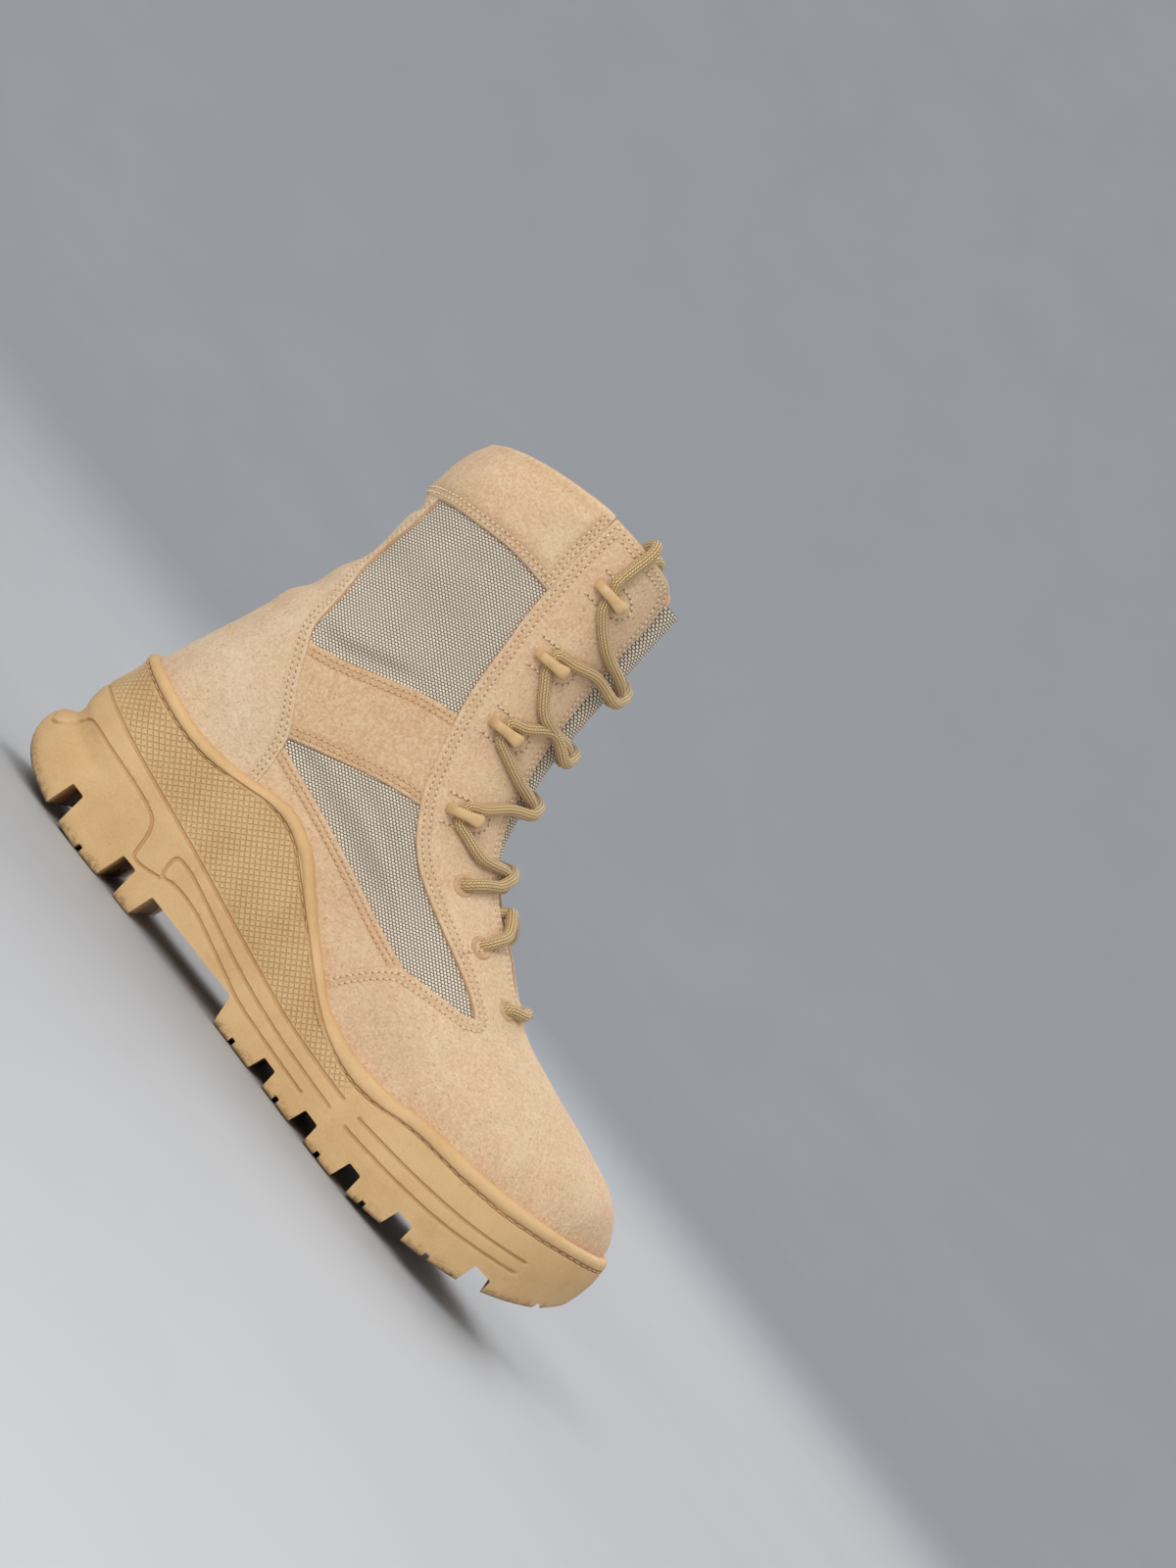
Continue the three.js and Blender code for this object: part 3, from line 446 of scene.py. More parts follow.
def smooth_path(points, step):
    """An even centripetal Catmull-Rom path through the points."""
    points = np.asarray(points, float)
    padded = np.concatenate([[2 * points[0] - points[1]], points, [2 * points[-1] - points[-2]]])
    path = []
    for i in range(len(points) - 1):
        a, b, c, d = padded[i:i + 4]
        knots = [0.0]
        for p, q in ((a, b), (b, c), (c, d)):
            knots.append(knots[-1] + max(np.linalg.norm(q - p) ** 0.5, 1e-6))
        t0, t1, t2, t3 = knots
        for t in np.linspace(t1, t2, PATH_SPLITS, endpoint=False):
            def between(p, q, low, high):
                return p * (high - t) / (high - low) + q * (t - low) / (high - low)
            bc = between(b, c, t1, t2)
            abc = between(between(a, b, t0, t1), bc, t0, t2)
            bcd = between(bc, between(c, d, t2, t3), t1, t3)
            path.append(between(abc, bcd, t1, t2))
    path = np.array(path + [points[-1]])
    return spaced(path, max(2, int(round(run_length(path)[-1] / step)) + 1))


LACE_SIDES = 16
LACE_STEP = 1.3
STRAND_START = 60    # where the strands start in the braid, past the ends
LACE_TIP = 0.7       # thickness of a lace at its very end, as a share, and its growth a ring
LACE_TIP_GROWTH = 0.12


def lace_piece(name, route, start=0.0):
    """A round lace along a route, with its place along and around kept for the braid."""
    path = smooth_path(route, LACE_STEP)
    tangent = unit(np.gradient(path, axis=0))
    side = unit(np.cross(tangent[0], UP))
    points, braid = [], []
    for i, centre in enumerate(path):
        side = unit(side - tangent[i] * (side @ tangent[i]))
        other = np.cross(tangent[i], side)
        round_end = min(1.0, LACE_TIP + LACE_TIP_GROWTH * min(i, len(path) - 1 - i))
        for k in range(LACE_SIDES):
            turn = 2 * math.pi * k / LACE_SIDES
            out = side * math.cos(turn) + other * math.sin(turn)
            points.append(centre + out * round_end * LACE / 2)
            braid.append((start + i * LACE_STEP, math.cos(turn), math.sin(turn)))
    return make_piece(name, points, tube_faces(len(path), LACE_SIDES), {"braid": braid}), path


def end_route(side):
    """The lace end runs from the top loop over the flap's edge and down inside it."""
    route = []
    for z, lift in END_ROUTE:
        point, normal = skin_place(END_X, min(z, END_TOP), side)
        route.append([*point[:2], z] + unit(normal * [1, 1, 0]) * lift)
    return route


LACE_PIECES = []
for label, side in SIDES.items():
    piece, path = lace_piece(f"lace_end_{label}_braid", end_route(side))
    LACE_PIECES.append((piece, [f"lace_end_{label}"]))
    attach(piece, "root")


LOOP_PASS = [(-1.0, 3.4), (0, 0), (1.2, -3.4)]     # places from the middle of a loop's bar


def loop_pass(index, side):
    """The three points of a lace that runs down under a loop's bar."""
    x, z, _ = LOOPS[index]
    dive = LACE_LIFT - GAP
    return [above(x + dx, z + dz, side, dive) for dx, dz in LOOP_PASS]


# Points of a strand over the ridge: section rows ahead of its own, y, and how far down.
RIDGE_PASS = [(0.12, EDGE_Y, 1), (0.03, 3.5, 0), (-0.03, -3.5, 0), (-0.12, -EDGE_Y, 1)]
OVER_LIFT = 1.9      # of the upper strand where two cross, and of the lower one
UNDER_LIFT = -0.9


def ridge_pass(row, side, over):
    """From one side across the tongue to the other; one strand lies over the other."""
    middle = float(column(SECTIONS, "swell", row)) - WALL - TONGUE_UNDER + LACE_LIFT
    middle = max(middle, LACE_LIFT) + (OVER_LIFT if over else UNDER_LIFT)
    return [ridge_point(row + ahead, side * y, middle - down) for ahead, y, down in RIDGE_PASS]


def strand_route(side):
    """One half of the lace, from the top loop on the side given to the middle of the bar."""
    end = end_route(side)
    route = [end[0] * 0.22 + end[1] * 0.78, end[0]]
    for i, crossing in enumerate(CROSSINGS):
        route += loop_pass(i, side)
        route.append(above(*crossing["upper"], side, LACE_LIFT))
        route.append(above(*crossing["upper_via"], side, LACE_LIFT + 0.4))
        route += ridge_pass(crossing["row"], side, side > 0)
        side = -side
        route.append(above(*crossing["lower_via"], side, LACE_LIFT + 0.5))
        if i < len(CROSSINGS) - 1:
            route.append(above(*crossing["lower"], side, LACE_LIFT))
    route += [above(x, z, side, lift) for x, z, lift in FIRST_EYELET_RUN]
    route += [ridge_point(row, side * y, lift) for row, y, lift in LAST_CROSSING]
    route += [above(x, z, -side, lift) for x, z, lift in LOW_EYELETS_RUN]
    return route + [ridge_point(BAR_ROW, 0, LACE_LIFT)]


for label, side in SIDES.items():
    piece, _ = lace_piece(f"lace_strand_{label}", strand_route(side), start=STRAND_START)
    stands_for = [f"lace_crossing_{i}" for i in range(1, 6)] + ["lace_bar"] if side < 0 else []
    LACE_PIECES.append((piece, stands_for))


# ---------------------------------------------------------------- the skin, cut into pieces

GRID_ROWS = 128
GRID_SIDE = 165      # points along one side of a row
FINE_SIDE = 260      # points used to space them


def skin_grid():
    """Rows of points over the whole skin, evenly spaced. Also gives each point's distance from the ridge
    along its row, the way up the ridge from the throat's slot, and the height where its row meets it."""
    rows = np.linspace(0, LAST_ROW, 400)
    rear_z = column(SECTIONS, "rear_z", rows)
    climb = run_length(section_front(rows)) + rear_z - rear_z[0]
    rows = np.interp(np.linspace(0, climb[-1], GRID_ROWS), climb, rows)
    rear_z = column(SECTIONS, "rear_z", rows)[:, None]
    rear_x = column(SHAFT, "rear", rear_z)
    front = section_front(rows)
    front_x, front_z = front[:, :1], front[:, 1:]

    def half_rings(t):
        x = rear_x + (front_x - rear_x) * t
        z = rear_z + (front_z - rear_z) * t
        return x, skin_half(x, z), z
    crowded = np.tile(crowded_shares(FINE_SIDE), (GRID_ROWS, 1))
    along = run_length(np.stack(half_rings(crowded), 2))
    even = [np.interp(np.linspace(0, a[-1], GRID_SIDE), a, t) for a, t in zip(along, crowded)]
    x, half, z = half_rings(np.array(even))
    points = both_sides(x, half, skin_middle(x, z), z)
    from_front = along[:, -1:] * (1 - np.linspace(0, 1, GRID_SIDE))
    up_ridge = run_length(front)
    up_ridge = up_ridge - np.interp(SLIT_ROW, rows, up_ridge)
    around = np.ones(points.shape[1])
    return points, round_trip(from_front, from_front), up_ridge[:, None] * around, front_z * around


def grid_normals(points):
    """Outward normals of a grid whose rows are closed rings."""
    around = np.roll(points, -1, axis=1) - np.roll(points, 1, axis=1)
    return unit(np.cross(around, np.gradient(points, axis=0)))


SKIN, FROM_FRONT, UP_RIDGE, RING_TOP = skin_grid()
NORMAL = grid_normals(SKIN)


CREASE_FADE = 0.3    # part of a crease's length over which it fades to a quarter of its depth
STEEPEST = 0.06      # limit for where the skin faces along the boot, and distances would grow endless


def crease_depth(x, z):
    """How far the listed creases move the skin inwards."""
    depth = np.zeros(x.shape)
    for line, deep, wide in CREASES:
        smooth = smooth_line(line)
        distance, along, _, _ = nearest_on(smooth, x, z)
        share = along / (len(smooth) - 1)
        ends = smooth_step(0, CREASE_FADE, share) * smooth_step(0, CREASE_FADE, 1 - share)
        depth += deep * np.exp(-((distance / wide) ** 2)) * (0.25 + 0.75 * ends)
    return depth


def soft_waves(points):
    """Low swells of hand-lasted leather."""
    x, y, z = points[..., 0], points[..., 1], points[..., 2]
    broad = 0.22 * np.sin(x / 13 + z / 19 + 1) * np.sin(z / 15 - x / 37)
    return broad + 0.12 * np.sin(x / 6.1 - z / 7.3 + y / 23)


SKIN = SKIN + NORMAL * (soft_waves(SKIN) - crease_depth(SKIN[..., 0], SKIN[..., 2]))[:, :, None]
NORMAL = grid_normals(SKIN)
FLAT = SKIN.reshape(-1, 3)
FLAT_NORMAL = NORMAL.reshape(-1, 3)


def tilt_factor(away_x, away_z):
    """Planar distance to distance over the surface."""
    lean = away_x * FLAT_NORMAL[:, 0] + away_z * FLAT_NORMAL[:, 2]
    return 1 / np.sqrt(np.maximum(STEEPEST, 1 - lean ** 2))


def below_line(line):
    """Distance over the skin below a line that runs towards the toe; less than 0 is above it."""
    smooth = smooth_line(line)
    distance, _, *away = nearest_on(smooth, *FLAT.T[::2])
    under = FLAT[:, 2] < np.interp(FLAT[:, 0], *smooth.T)
    return np.where(under, 1, -1) * distance * tilt_factor(*away)


def inside_outline(*lines):
    """Distance over the skin inside the closed outline that the lines make; less than 0 is outside."""
    distance, *away = in_outline(np.concatenate(lines), *FLAT.T[::2])
    return distance * tilt_factor(*away)


def outside_slit():
    """Distance over the skin from the rounded slot of the throat."""
    bottom = float(column(SECTIONS, "front_z", SLIT_ROW))
    wide = SLIT_LOW + (SLIT_HIGH - SLIT_LOW) * smooth_step(bottom - 20, bottom + 130, RING_TOP)
    short = np.maximum(0, wide + 1 - UP_RIDGE)
    return (np.hypot(FROM_FRONT, short) - wide).ravel()


COLLAR_DISTANCE = below_line(COLLAR)
SLIT_DISTANCE = outside_slit()
OPEN_EDGE = np.minimum(COLLAR_DISTANCE, SLIT_DISTANCE)
FACING_DISTANCE = inside_outline(smooth_line(FACING_REAR), smooth_line(VAMP_REAR),
                                 [(152, -30), (350, -30), (350, 300), (86, 300)])
BACKSTAY_DISTANCE = inside_outline(smooth_line(BACKSTAY_FRONT), [(79, -30), (-30, -30), (-30, 206)])
STRAP_DISTANCE = inside_outline(smooth_line(STRAP_TOP), smooth_line(STRAP_LOW)[::-1])
QUARTER_DISTANCE = inside_outline(smooth_line(QUARTER_TOP), [(178, -30), (60, -30)])
CUFF_BODY = inside_outline(smooth_line(CUFF_LOW),
                           [(89.2, 225), (87.8, 240), (86.4, 249), (86.4, 300), (-30, 300)])
COVER = np.maximum(FACING_DISTANCE, BACKSTAY_DISTANCE)
UNDER_RIM = column(RIM_TOP, "z", FLAT[:, 0]) - FLAT[:, 2] + 0.5
ABOVE_FOOTBED = FLAT[:, 2] - column(FOOTBED, "z", FLAT[:, 0]) - GAP


QUADS = ring_quads(*SKIN.shape[:2])
OWN, ROWS, HIDDEN = 6, 7, 8      # columns of a point's values, after its place and normal
CUT_MARGIN = 6
COVERED = 0.4        # no stitch lies this far under another piece, or nearer than this to an edge
SEWN_INSIDE = 0.8
EDGE_MARK = -0.5     # the value "inside" at the foot of a cut edge, and on an inner face
INNER_MARK = -1.0


def cut_along(data, polygons, key, level, near=None, reach=None):
    """Splits the polygons along the line where a value equals the level. Gives them and the line's pieces.
    With near, only the polygons where that value comes below reach are split."""
    values = [row[key] - level for row in data]
    values = [v if abs(v) > 1e-5 else 1e-5 for v in values]
    made = {}

    def crossing(a, b):
        pair = (a, b) if a < b else (b, a)
        if pair not in made:
            first, second = values[pair[0]], values[pair[1]]
            t = first / (first - second)
            data.append(data[pair[0]] * (1 - t) + data[pair[1]] * t)
            made[pair] = len(data) - 1
        return made[pair]
    result, line, whole = [], [], []
    for polygon in polygons:
        over = [values[k] > 0 for k in polygon]
        changes = [k for k in range(len(polygon)) if over[k] != over[(k + 1) % len(polygon)]]
        if len(changes) != 2 or (near is not None and min(data[k][near] for k in polygon) > reach):
            whole.append(polygon)
            continue
        first, second = changes
        ring = polygon + polygon[:1]
        a = crossing(ring[first], ring[first + 1])
        b = crossing(ring[second], ring[second + 1])
        result.append([a] + polygon[first + 1:second + 1] + [b])
        result.append([b] + polygon[second + 1:] + polygon[:first + 1] + [a])
        line.append((a, b))
    for polygon in whole:
        kept = []
        for a, b in zip(polygon, polygon[1:] + polygon[:1]):
            kept.append(a)
            pair = (a, b) if a < b else (b, a)
            if pair in made:
                kept.append(made[pair])
        result.append(kept)
    return result, line


def chain_up(segments):
    """Joins the pieces of a line to long runs of point numbers."""
    links = {}
    for a, b in segments:
        links.setdefault(a, []).append(b)
        links.setdefault(b, []).append(a)
    runs = []
    starts = sorted(links, key=lambda point: len(links[point]))
    for start in starts:
        if not links[start]:
            continue
        run = [start]
        while links[run[-1]]:
            after = links[run[-1]].pop()
            links[after].remove(run[-1])
            run.append(after)
        runs.append(run)
    return runs


def skin_panel(name, own, profile, floor, rows=None, hidden=None, sewn=(), lining=None):
    """A piece of leather or cloth cut from the skin. own is the distance inside its edge, profile gives its
    height at distances from the edge, and floor is how deep its cut edge goes. sewn are distances of its
    stitch rows, measured by rows. With lining, the piece has an inner face at that depth. Gives the piece
    and the lines of its stitch rows, without the parts where hidden says that another piece covers them."""
    rows = own if rows is None else rows
    hidden = UNDER_RIM if hidden is None else np.maximum(hidden, UNDER_RIM)
    table = np.column_stack([FLAT, FLAT_NORMAL, own, rows, hidden])
    inside = QUADS[(own[QUADS] > -CUT_MARGIN).any(axis=1) & (ABOVE_FOOTBED[QUADS] > 0).any(axis=1)]
    used, polygons = np.unique(inside, return_inverse=True)
    data = list(table[used])
    polygons, _ = cut_along(data, polygons.reshape(-1, 4).tolist(), OWN, 0)
    polygons = [polygon for polygon in polygons if sum(data[k][OWN] for k in polygon) > 0]
    for distance, _ in profile[1:]:
        polygons, _ = cut_along(data, polygons, OWN, distance)
    seams = []
    for distance in sewn:
        polygons, line = cut_along(data, polygons, ROWS, distance)
        seams += chain_up(line)
    values = np.array(data)
    count = len(values)
    normal = unit(values[:, 3:6])
    heights = np.interp(values[:, OWN], *zip(*profile))
    for distance in sewn:
        heights -= SEAM_DEPTH * np.exp(-((values[:, ROWS] - distance) / SEAM_WIDE) ** 2)
    top = values[:, :3] + normal * heights[:, None]
    kept_runs = [[k for k in run if values[k, HIDDEN] < COVERED and values[k, OWN] > SEWN_INSIDE]
                 for run in seams]
    sewn_lines = [(top[run], normal[run]) for run in kept_runs if len(run) > 3]
    edges = dict.fromkeys(edge for polygon in polygons for edge in zip(polygon, polygon[1:] + polygon[:1]))
    border = [(a, b) for a, b in edges if (b, a) not in edges]
    faces = list(polygons)
    if lining is None:
        border = [edge for edge in border if abs(values[list(edge), OWN]).max() < 1e-3]
        rim = sorted({k for edge in border for k in edge})
        low = {k: count + i for i, k in enumerate(rim)}
    else:
        floor = lining
        rim = list(range(count))
        low = {k: count + k for k in rim}
        faces += [[low[k] for k in polygon[::-1]] for polygon in polygons]
    points = np.concatenate([top, values[rim, :3] + normal[rim] * floor])
    marks = np.concatenate([values[:, OWN], np.full(len(rim), EDGE_MARK if lining is None else INNER_MARK)])
    faces += [[b, a, low[a], low[b]] for a, b in border]
    kept = sorted({k for face in faces for k in face})
    number = {k: i for i, k in enumerate(kept)}
    faces = [[number[k] for k in face] for face in faces]
    points = points[kept]
    return make_piece(name, points, faces, {"inside": marks[kept], "cloth": points[:, [0, 2, 1]]}), sewn_lines


SEAM_DEPTH = 0.42
SEAM_WIDE = 0.75
STITCH_PITCH = 2.6
STITCH_SHARE = 0.76  # a stitch's length, as a share of the pitch
STITCH_WIDE = 1.1
HOLE_WIDE = 0.85
STITCH_AROUND = 6
STITCH_LIFT = 0.02
STITCH_FLAT = 0.85   # height of a thread, as a share of its width
STITCH_SKEW = 0.09   # greatest slant of a stitch across its seam
STITCH_LENGTHS = (0.92, 1.06)
HOLE_LIFT = 0.07
# A stitch along its length: place, thickness and lift.
STITCH_SHAPE = [(-0.5, 0.35, -0.35), (-0.4, 0.75, -0.02), (-0.15, 1, 0.16), (0.15, 1, 0.16),
                (0.4, 0.75, -0.02), (0.5, 0.35, -0.35)]


def stitch_row(points, normals, pitch=STITCH_PITCH):
    """Places of the stitches along a run, as middle, direction and outward direction."""
    along = run_length(points)
    keep = np.diff(along, prepend=-1) > 1e-4
    points, normals, along = points[keep], normals[keep], along[keep]
    count = int(along[-1] / pitch)

    def at(distance, table=points):
        return np.array([np.interp(distance, along, values) for values in table.T])
    places = []
    for i in range(count):
        middle = (i + 0.5) * along[-1] / count
        run = at(middle + pitch / 3) - at(middle - pitch / 3)
        if np.linalg.norm(run) > 0.2 * pitch:
            places.append((at(middle), unit(run), unit(at(middle, normals))))
    return places


def stitch_piece(name, places, pitch=STITCH_PITCH, wide=STITCH_WIDE, hole=HOLE_WIDE):
    """All the stitches of a seam as one mesh: small rounded threads that dive at both ends, and the dark
    discs between them, painted shade of the needle holes, whose faces take the second material."""
    chance = random.Random(name)
    points, faces, holes = [], [], []
    turns = [2 * math.pi * k / STITCH_AROUND for k in range(STITCH_AROUND)]
    for middle, run, outward in places:
        across = np.cross(outward, run)
        holes.append(range(len(points), len(points) + STITCH_AROUND))
        centre = middle + run * pitch / 2 + outward * HOLE_LIFT
        points += [centre + (across * math.cos(turn) + run * math.sin(turn)) * hole / 2 for turn in turns]
        run = run + across * chance.uniform(-STITCH_SKEW, STITCH_SKEW)
        length = pitch * STITCH_SHARE * chance.uniform(*STITCH_LENGTHS)
        faces += tube_faces(len(STITCH_SHAPE), STITCH_AROUND, len(points), flip=True)
        for along, swell, lift in STITCH_SHAPE:
            centre = middle + run * along * length + outward * (lift + STITCH_LIFT)
            for turn in turns:
                spread = across * math.cos(turn) + outward * math.sin(turn) * STITCH_FLAT
                points.append(centre + spread * wide / 2 * swell)
    piece = make_piece(name, points, faces + holes)
    for face in piece.data.polygons[len(faces):]:
        face.material_index = 1
    return piece


# ---------------------------------------------------------------- the upper

UPPER_PIECES = []
STITCHES = {}


def sew(name, lines):
    """Keeps the places of a seam's stitches until its thread is made."""
    STITCHES[name] = [spot for line in lines for spot in stitch_row(*line)]


def leather(name, own, top, sewn, hidden=None, floor=FABRIC - 0.3):
    """A leather piece with a rounded cut edge and a soft swell between its stitch rows."""
    profile = [(0, top - 0.75), (0.25, top - 0.28), (0.9, top), (3.6, top + 0.25), (9, top + 0.15)]
    piece, lines = skin_panel(name, own, profile, floor, hidden=hidden, sewn=sewn)
    sew(name, lines)
    UPPER_PIECES.append(piece)


shell, _ = skin_panel("upper_shell", OPEN_EDGE, [(0, FABRIC), (1.2, FABRIC)], FABRIC, lining=LINING)
leather("quarter", np.minimum(QUARTER_DISTANCE, OPEN_EDGE), LOW_LEATHER, sewn=(2.2, 4.6), hidden=COVER)
leather("strap", np.minimum(STRAP_DISTANCE, OPEN_EDGE), LOW_LEATHER, sewn=(2.3, 4.6), hidden=COVER)
leather("facing_vamp", np.minimum(FACING_DISTANCE, OPEN_EDGE), HIGH_LEATHER, sewn=(2.5, 5.2),
        floor=LINING + 0.2)
leather("backstay", BACKSTAY_DISTANCE, HIGH_LEATHER, sewn=(2.1, 4.3), hidden=CUFF_BODY)

CUFF_PROFILE = [(0, -0.4), (0.5, 1.0), (1.2, 1.6), (2.9, 2.0), (4.8, 2.5), (8, 3.5), (14, 4.1), (26, 4.3)]
cuff, cuff_lines = skin_panel("collar_cuff_padded", np.minimum(CUFF_BODY, COLLAR_DISTANCE + 0.8),
                              CUFF_PROFILE, LINING, rows=CUFF_BODY, sewn=(2.0, 4.1))
sew("collar_cuff", cuff_lines)


TONGUE_TOP_ROW = 14.62
TONGUE_CORNER = 10
TONGUE_ROUND_ROW = 14.4
TONGUE_ROUND_ROWS = 0.23
TONGUE_ROWS = np.concatenate([np.linspace(6.2, 14.3, 92), np.linspace(14.32, TONGUE_TOP_ROW, 20)])
TONGUE_COLUMNS = 44
INSOLE_REAR = 15.2
INSOLE_FRONT = 308.6
INSOLE_STATIONS = 90
INSOLE_ACROSS = 22


def tongue_ring(row):
    """Upper and lower points of the tongue across one section row, and the ridge's length per row."""
    here = section_front(row)
    run = (section_front(row + ROW_STEP) - here) / ROW_STEP
    length = math.hypot(*run)
    depth = float(column(SECTIONS, "round", row))
    half = float(widest_half(*here))
    width = TONGUE_LOW + (TONGUE_HIGH - TONGUE_LOW) * float(smooth_step(6, 12, row))
    width -= TONGUE_CORNER * (1 - math.sqrt(1 - max(0, (row - TONGUE_ROUND_ROW) / TONGUE_ROUND_ROWS) ** 2))
    under = -WALL - TONGUE_UNDER
    swell = float(column(SECTIONS, "swell", row))
    slit = SLIT_LOW - 0.6 + (SLIT_HIGH - SLIT_LOW) * float(smooth_step(8, 14, row))
    upper, lower = [], []
    for share in np.linspace(-1, 1, TONGUE_COLUMNS + 1):
        y = math.copysign(abs(share) ** 1.3, share) * width
        across = abs(y / (half + under)) ** ROUND_POWER
        fall = depth * (1 - (1 - across) ** (1 / ROUND_POWER))
        bump = swell * max(0, 1 - (y / slit) ** 2) ** 0.8
        edge = min(1, (1 - abs(share)) * 9)
        for points, lift in ((upper, -0.9 * (1 - edge)), (lower, -TONGUE_THICK * (0.45 + 0.55 * edge))):
            out = under - fall + bump + lift
            x, z = here + np.array([run[1], -run[0]]) / length * out
            points.append((x, float(skin_middle(*here)) + y, z))
    return upper, lower, length


def tongue_piece():
    """The padded tongue, with its place on the cloth kept for the weave."""
    rows = TONGUE_ROWS
    count = 2 * (TONGUE_COLUMNS + 1)
    points, cloth = [], []
    climb = 0.0
    for row, before in zip(rows, np.concatenate([rows[:1], rows])):
        upper, lower, run = tongue_ring(row)
        climb += run * (row - before)
        ring = upper + lower[::-1]
        points += ring
        cloth += [(p[1], climb, 0) for p in ring]
    faces = tube_faces(len(rows), count, capped=False)
    for start, order in ((0, 1), ((len(rows) - 1) * count, -1)):
        for j in range(TONGUE_COLUMNS):
            a, b = start + j, start + count - 1 - j
            faces.append((a, b, b - 1, a + 1)[::order])
    return make_piece("tongue_padded", points, faces, {"cloth": cloth})


tongue = tongue_piece()


def insole_piece():
    """The footbed's cover: a thin cushion with a rolled edge that follows the inside of the upper."""
    shares = np.linspace(-1, 1, INSOLE_ACROSS + 1)
    points = []
    for t in crowded_shares(INSOLE_STATIONS + 1):
        x = INSOLE_REAR + (INSOLE_FRONT - INSOLE_REAR) * t
        floor = float(column(FOOTBED, "z", x)) + 2 * GAP
        half = max(0.6, float(skin_half(x, floor + 4)) - WALL - GAP - 0.4)
        middle = float(skin_middle(x, floor + 4))
        for share in shares:
            edge = min(1.0, (1 - abs(share)) * half / 3.5)
            top = 2.2 + 1.8 * math.sqrt(1 - (1 - edge) ** 2) + 1.6 * share ** 6
            points.append((x, middle + share * half, floor + top))
        points += [(x, middle - share * half, floor) for share in shares]
    return make_piece("insole_cover", points, tube_faces(INSOLE_STATIONS + 1, 2 * (INSOLE_ACROSS + 1)))


insole = insole_piece()


def creased_place(x, z, side):
    """Place on the skin with its creases and swells, and the outward normal."""
    point, normal = skin_place(x, z, side)
    crease = float(crease_depth(np.array([x]), np.array([z]))[0])
    return point + normal * (float(soft_waves(point)) - crease), normal


def seam_on_side(line, side, lift):
    """A run of points on one side of the boot along a given line."""
    smooth = smooth_line(line)
    points, normals = [], []
    for x, z in spaced(smooth, int(run_length(smooth)[-1] / 0.8) + 2):
        point, normal = creased_place(x, z, side)
        points.append(point + normal * lift)
        normals.append(normal)
    return np.array(points), np.array(normals)


def loop_frame(index, side):
    """A loop's place, and its directions along the bar, outward and across."""
    x, z, lean = LOOPS[index]
    point, normal = creased_place(x, z, side)
    along = np.array([math.cos(math.radians(lean)), 0, math.sin(math.radians(lean))])
    along = unit(along - normal * (along @ normal))
    return point, along, normal, np.cross(along, normal)


HEAD_MIDDLE = 3.5    # of the stitching round a loop: its round head, half width and open end
HEAD_REACH = 8.2
HEAD_HALF = 6.8
HEAD_OPEN = -8.5


def horseshoe(index, side):
    """Stitching round the head of a loop."""
    turn_x, _, turn_z = loop_frame(index, side)[1]
    x, z, _ = LOOPS[index]
    angles = [math.radians(-90 + 180 * k / 12) for k in range(13)]
    head = [(HEAD_MIDDLE + HEAD_REACH * math.cos(angle), HEAD_HALF * math.sin(angle)) for angle in angles]
    line = [(HEAD_OPEN, -HEAD_HALF)] + head + [(HEAD_OPEN, HEAD_HALF)]
    return [(x + u * turn_x - v * turn_z, z + u * turn_z + v * turn_x) for u, v in line]


LOOP_SEAMS = [(line, side) for side in SIDES.values()
              for line in [SHORT_SEAM] + [horseshoe(index, side) for index in range(len(LOOPS))]]
sew("lace_loops", [seam_on_side(line, side, HIGH_LEATHER + 0.3) for line, side in LOOP_SEAMS])


# ---------------------------------------------------------------- hardware

EYELET_AROUND = 36
EYELET_SHAPE = [(2.0, -2.4), (2.2, -0.4), (2.6, 0.7), (3.2, 1.25), (4.0, 1.4), (4.7, 1.15), (5.2, 0.75),
                (5.5, 0.2)]      # radius and height
EYELET_OVAL = 0.92
EYELET_LIFT = 0.3
LOOP_LIFT = 0.9


def eyelet_piece(name, x, z, side):
    """A soft moulded ring, dished into the leather round the hole."""
    point, normal = creased_place(x, z, side)
    first = unit(np.cross(normal, UP))
    second = np.cross(normal, first)
    points = []
    for radius, height in EYELET_SHAPE:
        for k in range(EYELET_AROUND):
            angle = 2 * math.pi * k / EYELET_AROUND
            spread = first * math.cos(angle) * radius + second * math.sin(angle) * radius * EYELET_OVAL
            points.append(point + spread + normal * (height + EYELET_LIFT))
    return make_piece(name, points, tube_faces(len(EYELET_SHAPE), EYELET_AROUND, capped=False))


# A loop's arch, from its rear foot over the bar to its head: outer point, inner point and half width.
LOOP_ARCH = [
    ((-8.1, -0.8), (-4.9, -0.8), 2.8), ((-8.0, 1.4), (-4.8, 1.2), 2.5), ((-7.6, 5.0), (-4.5, 4.0), 2.25),
    ((-5.9, 7.4), (-3.4, 5.0), 2.25), ((-2.0, 7.7), (-1.5, 4.9), 2.3), ((2.2, 7.7), (1.5, 4.9), 2.5),
    ((6.0, 8.1), (3.5, 5.0), 3.1), ((8.2, 6.2), (4.8, 4.0), 3.4), ((8.6, 1.8), (5.1, 1.2), 3.4),
    ((8.8, -0.8), (5.3, -0.8), 3.6),
]


def loop_piece(name, index, side):
    """A moulded bar on two feet: a rounded arch with a wide head at the toe side."""
    point, along, normal, across = loop_frame(index, side)
    points = []
    for outer, inner, wide in LOOP_ARCH:
        for (u, w), v in ((outer, wide), (inner, wide), (inner, -wide), (outer, -wide)):
            points.append(point + along * u + normal * (w + LOOP_LIFT) + across * v)
    piece = make_piece(name, points, tube_faces(len(LOOP_ARCH), 4))
    rounding = piece.modifiers.new("rounding", "SUBSURF")
    rounding.levels = 2
    rounding.render_levels = 2
    return piece


# ---------------------------------------------------------------- the sole

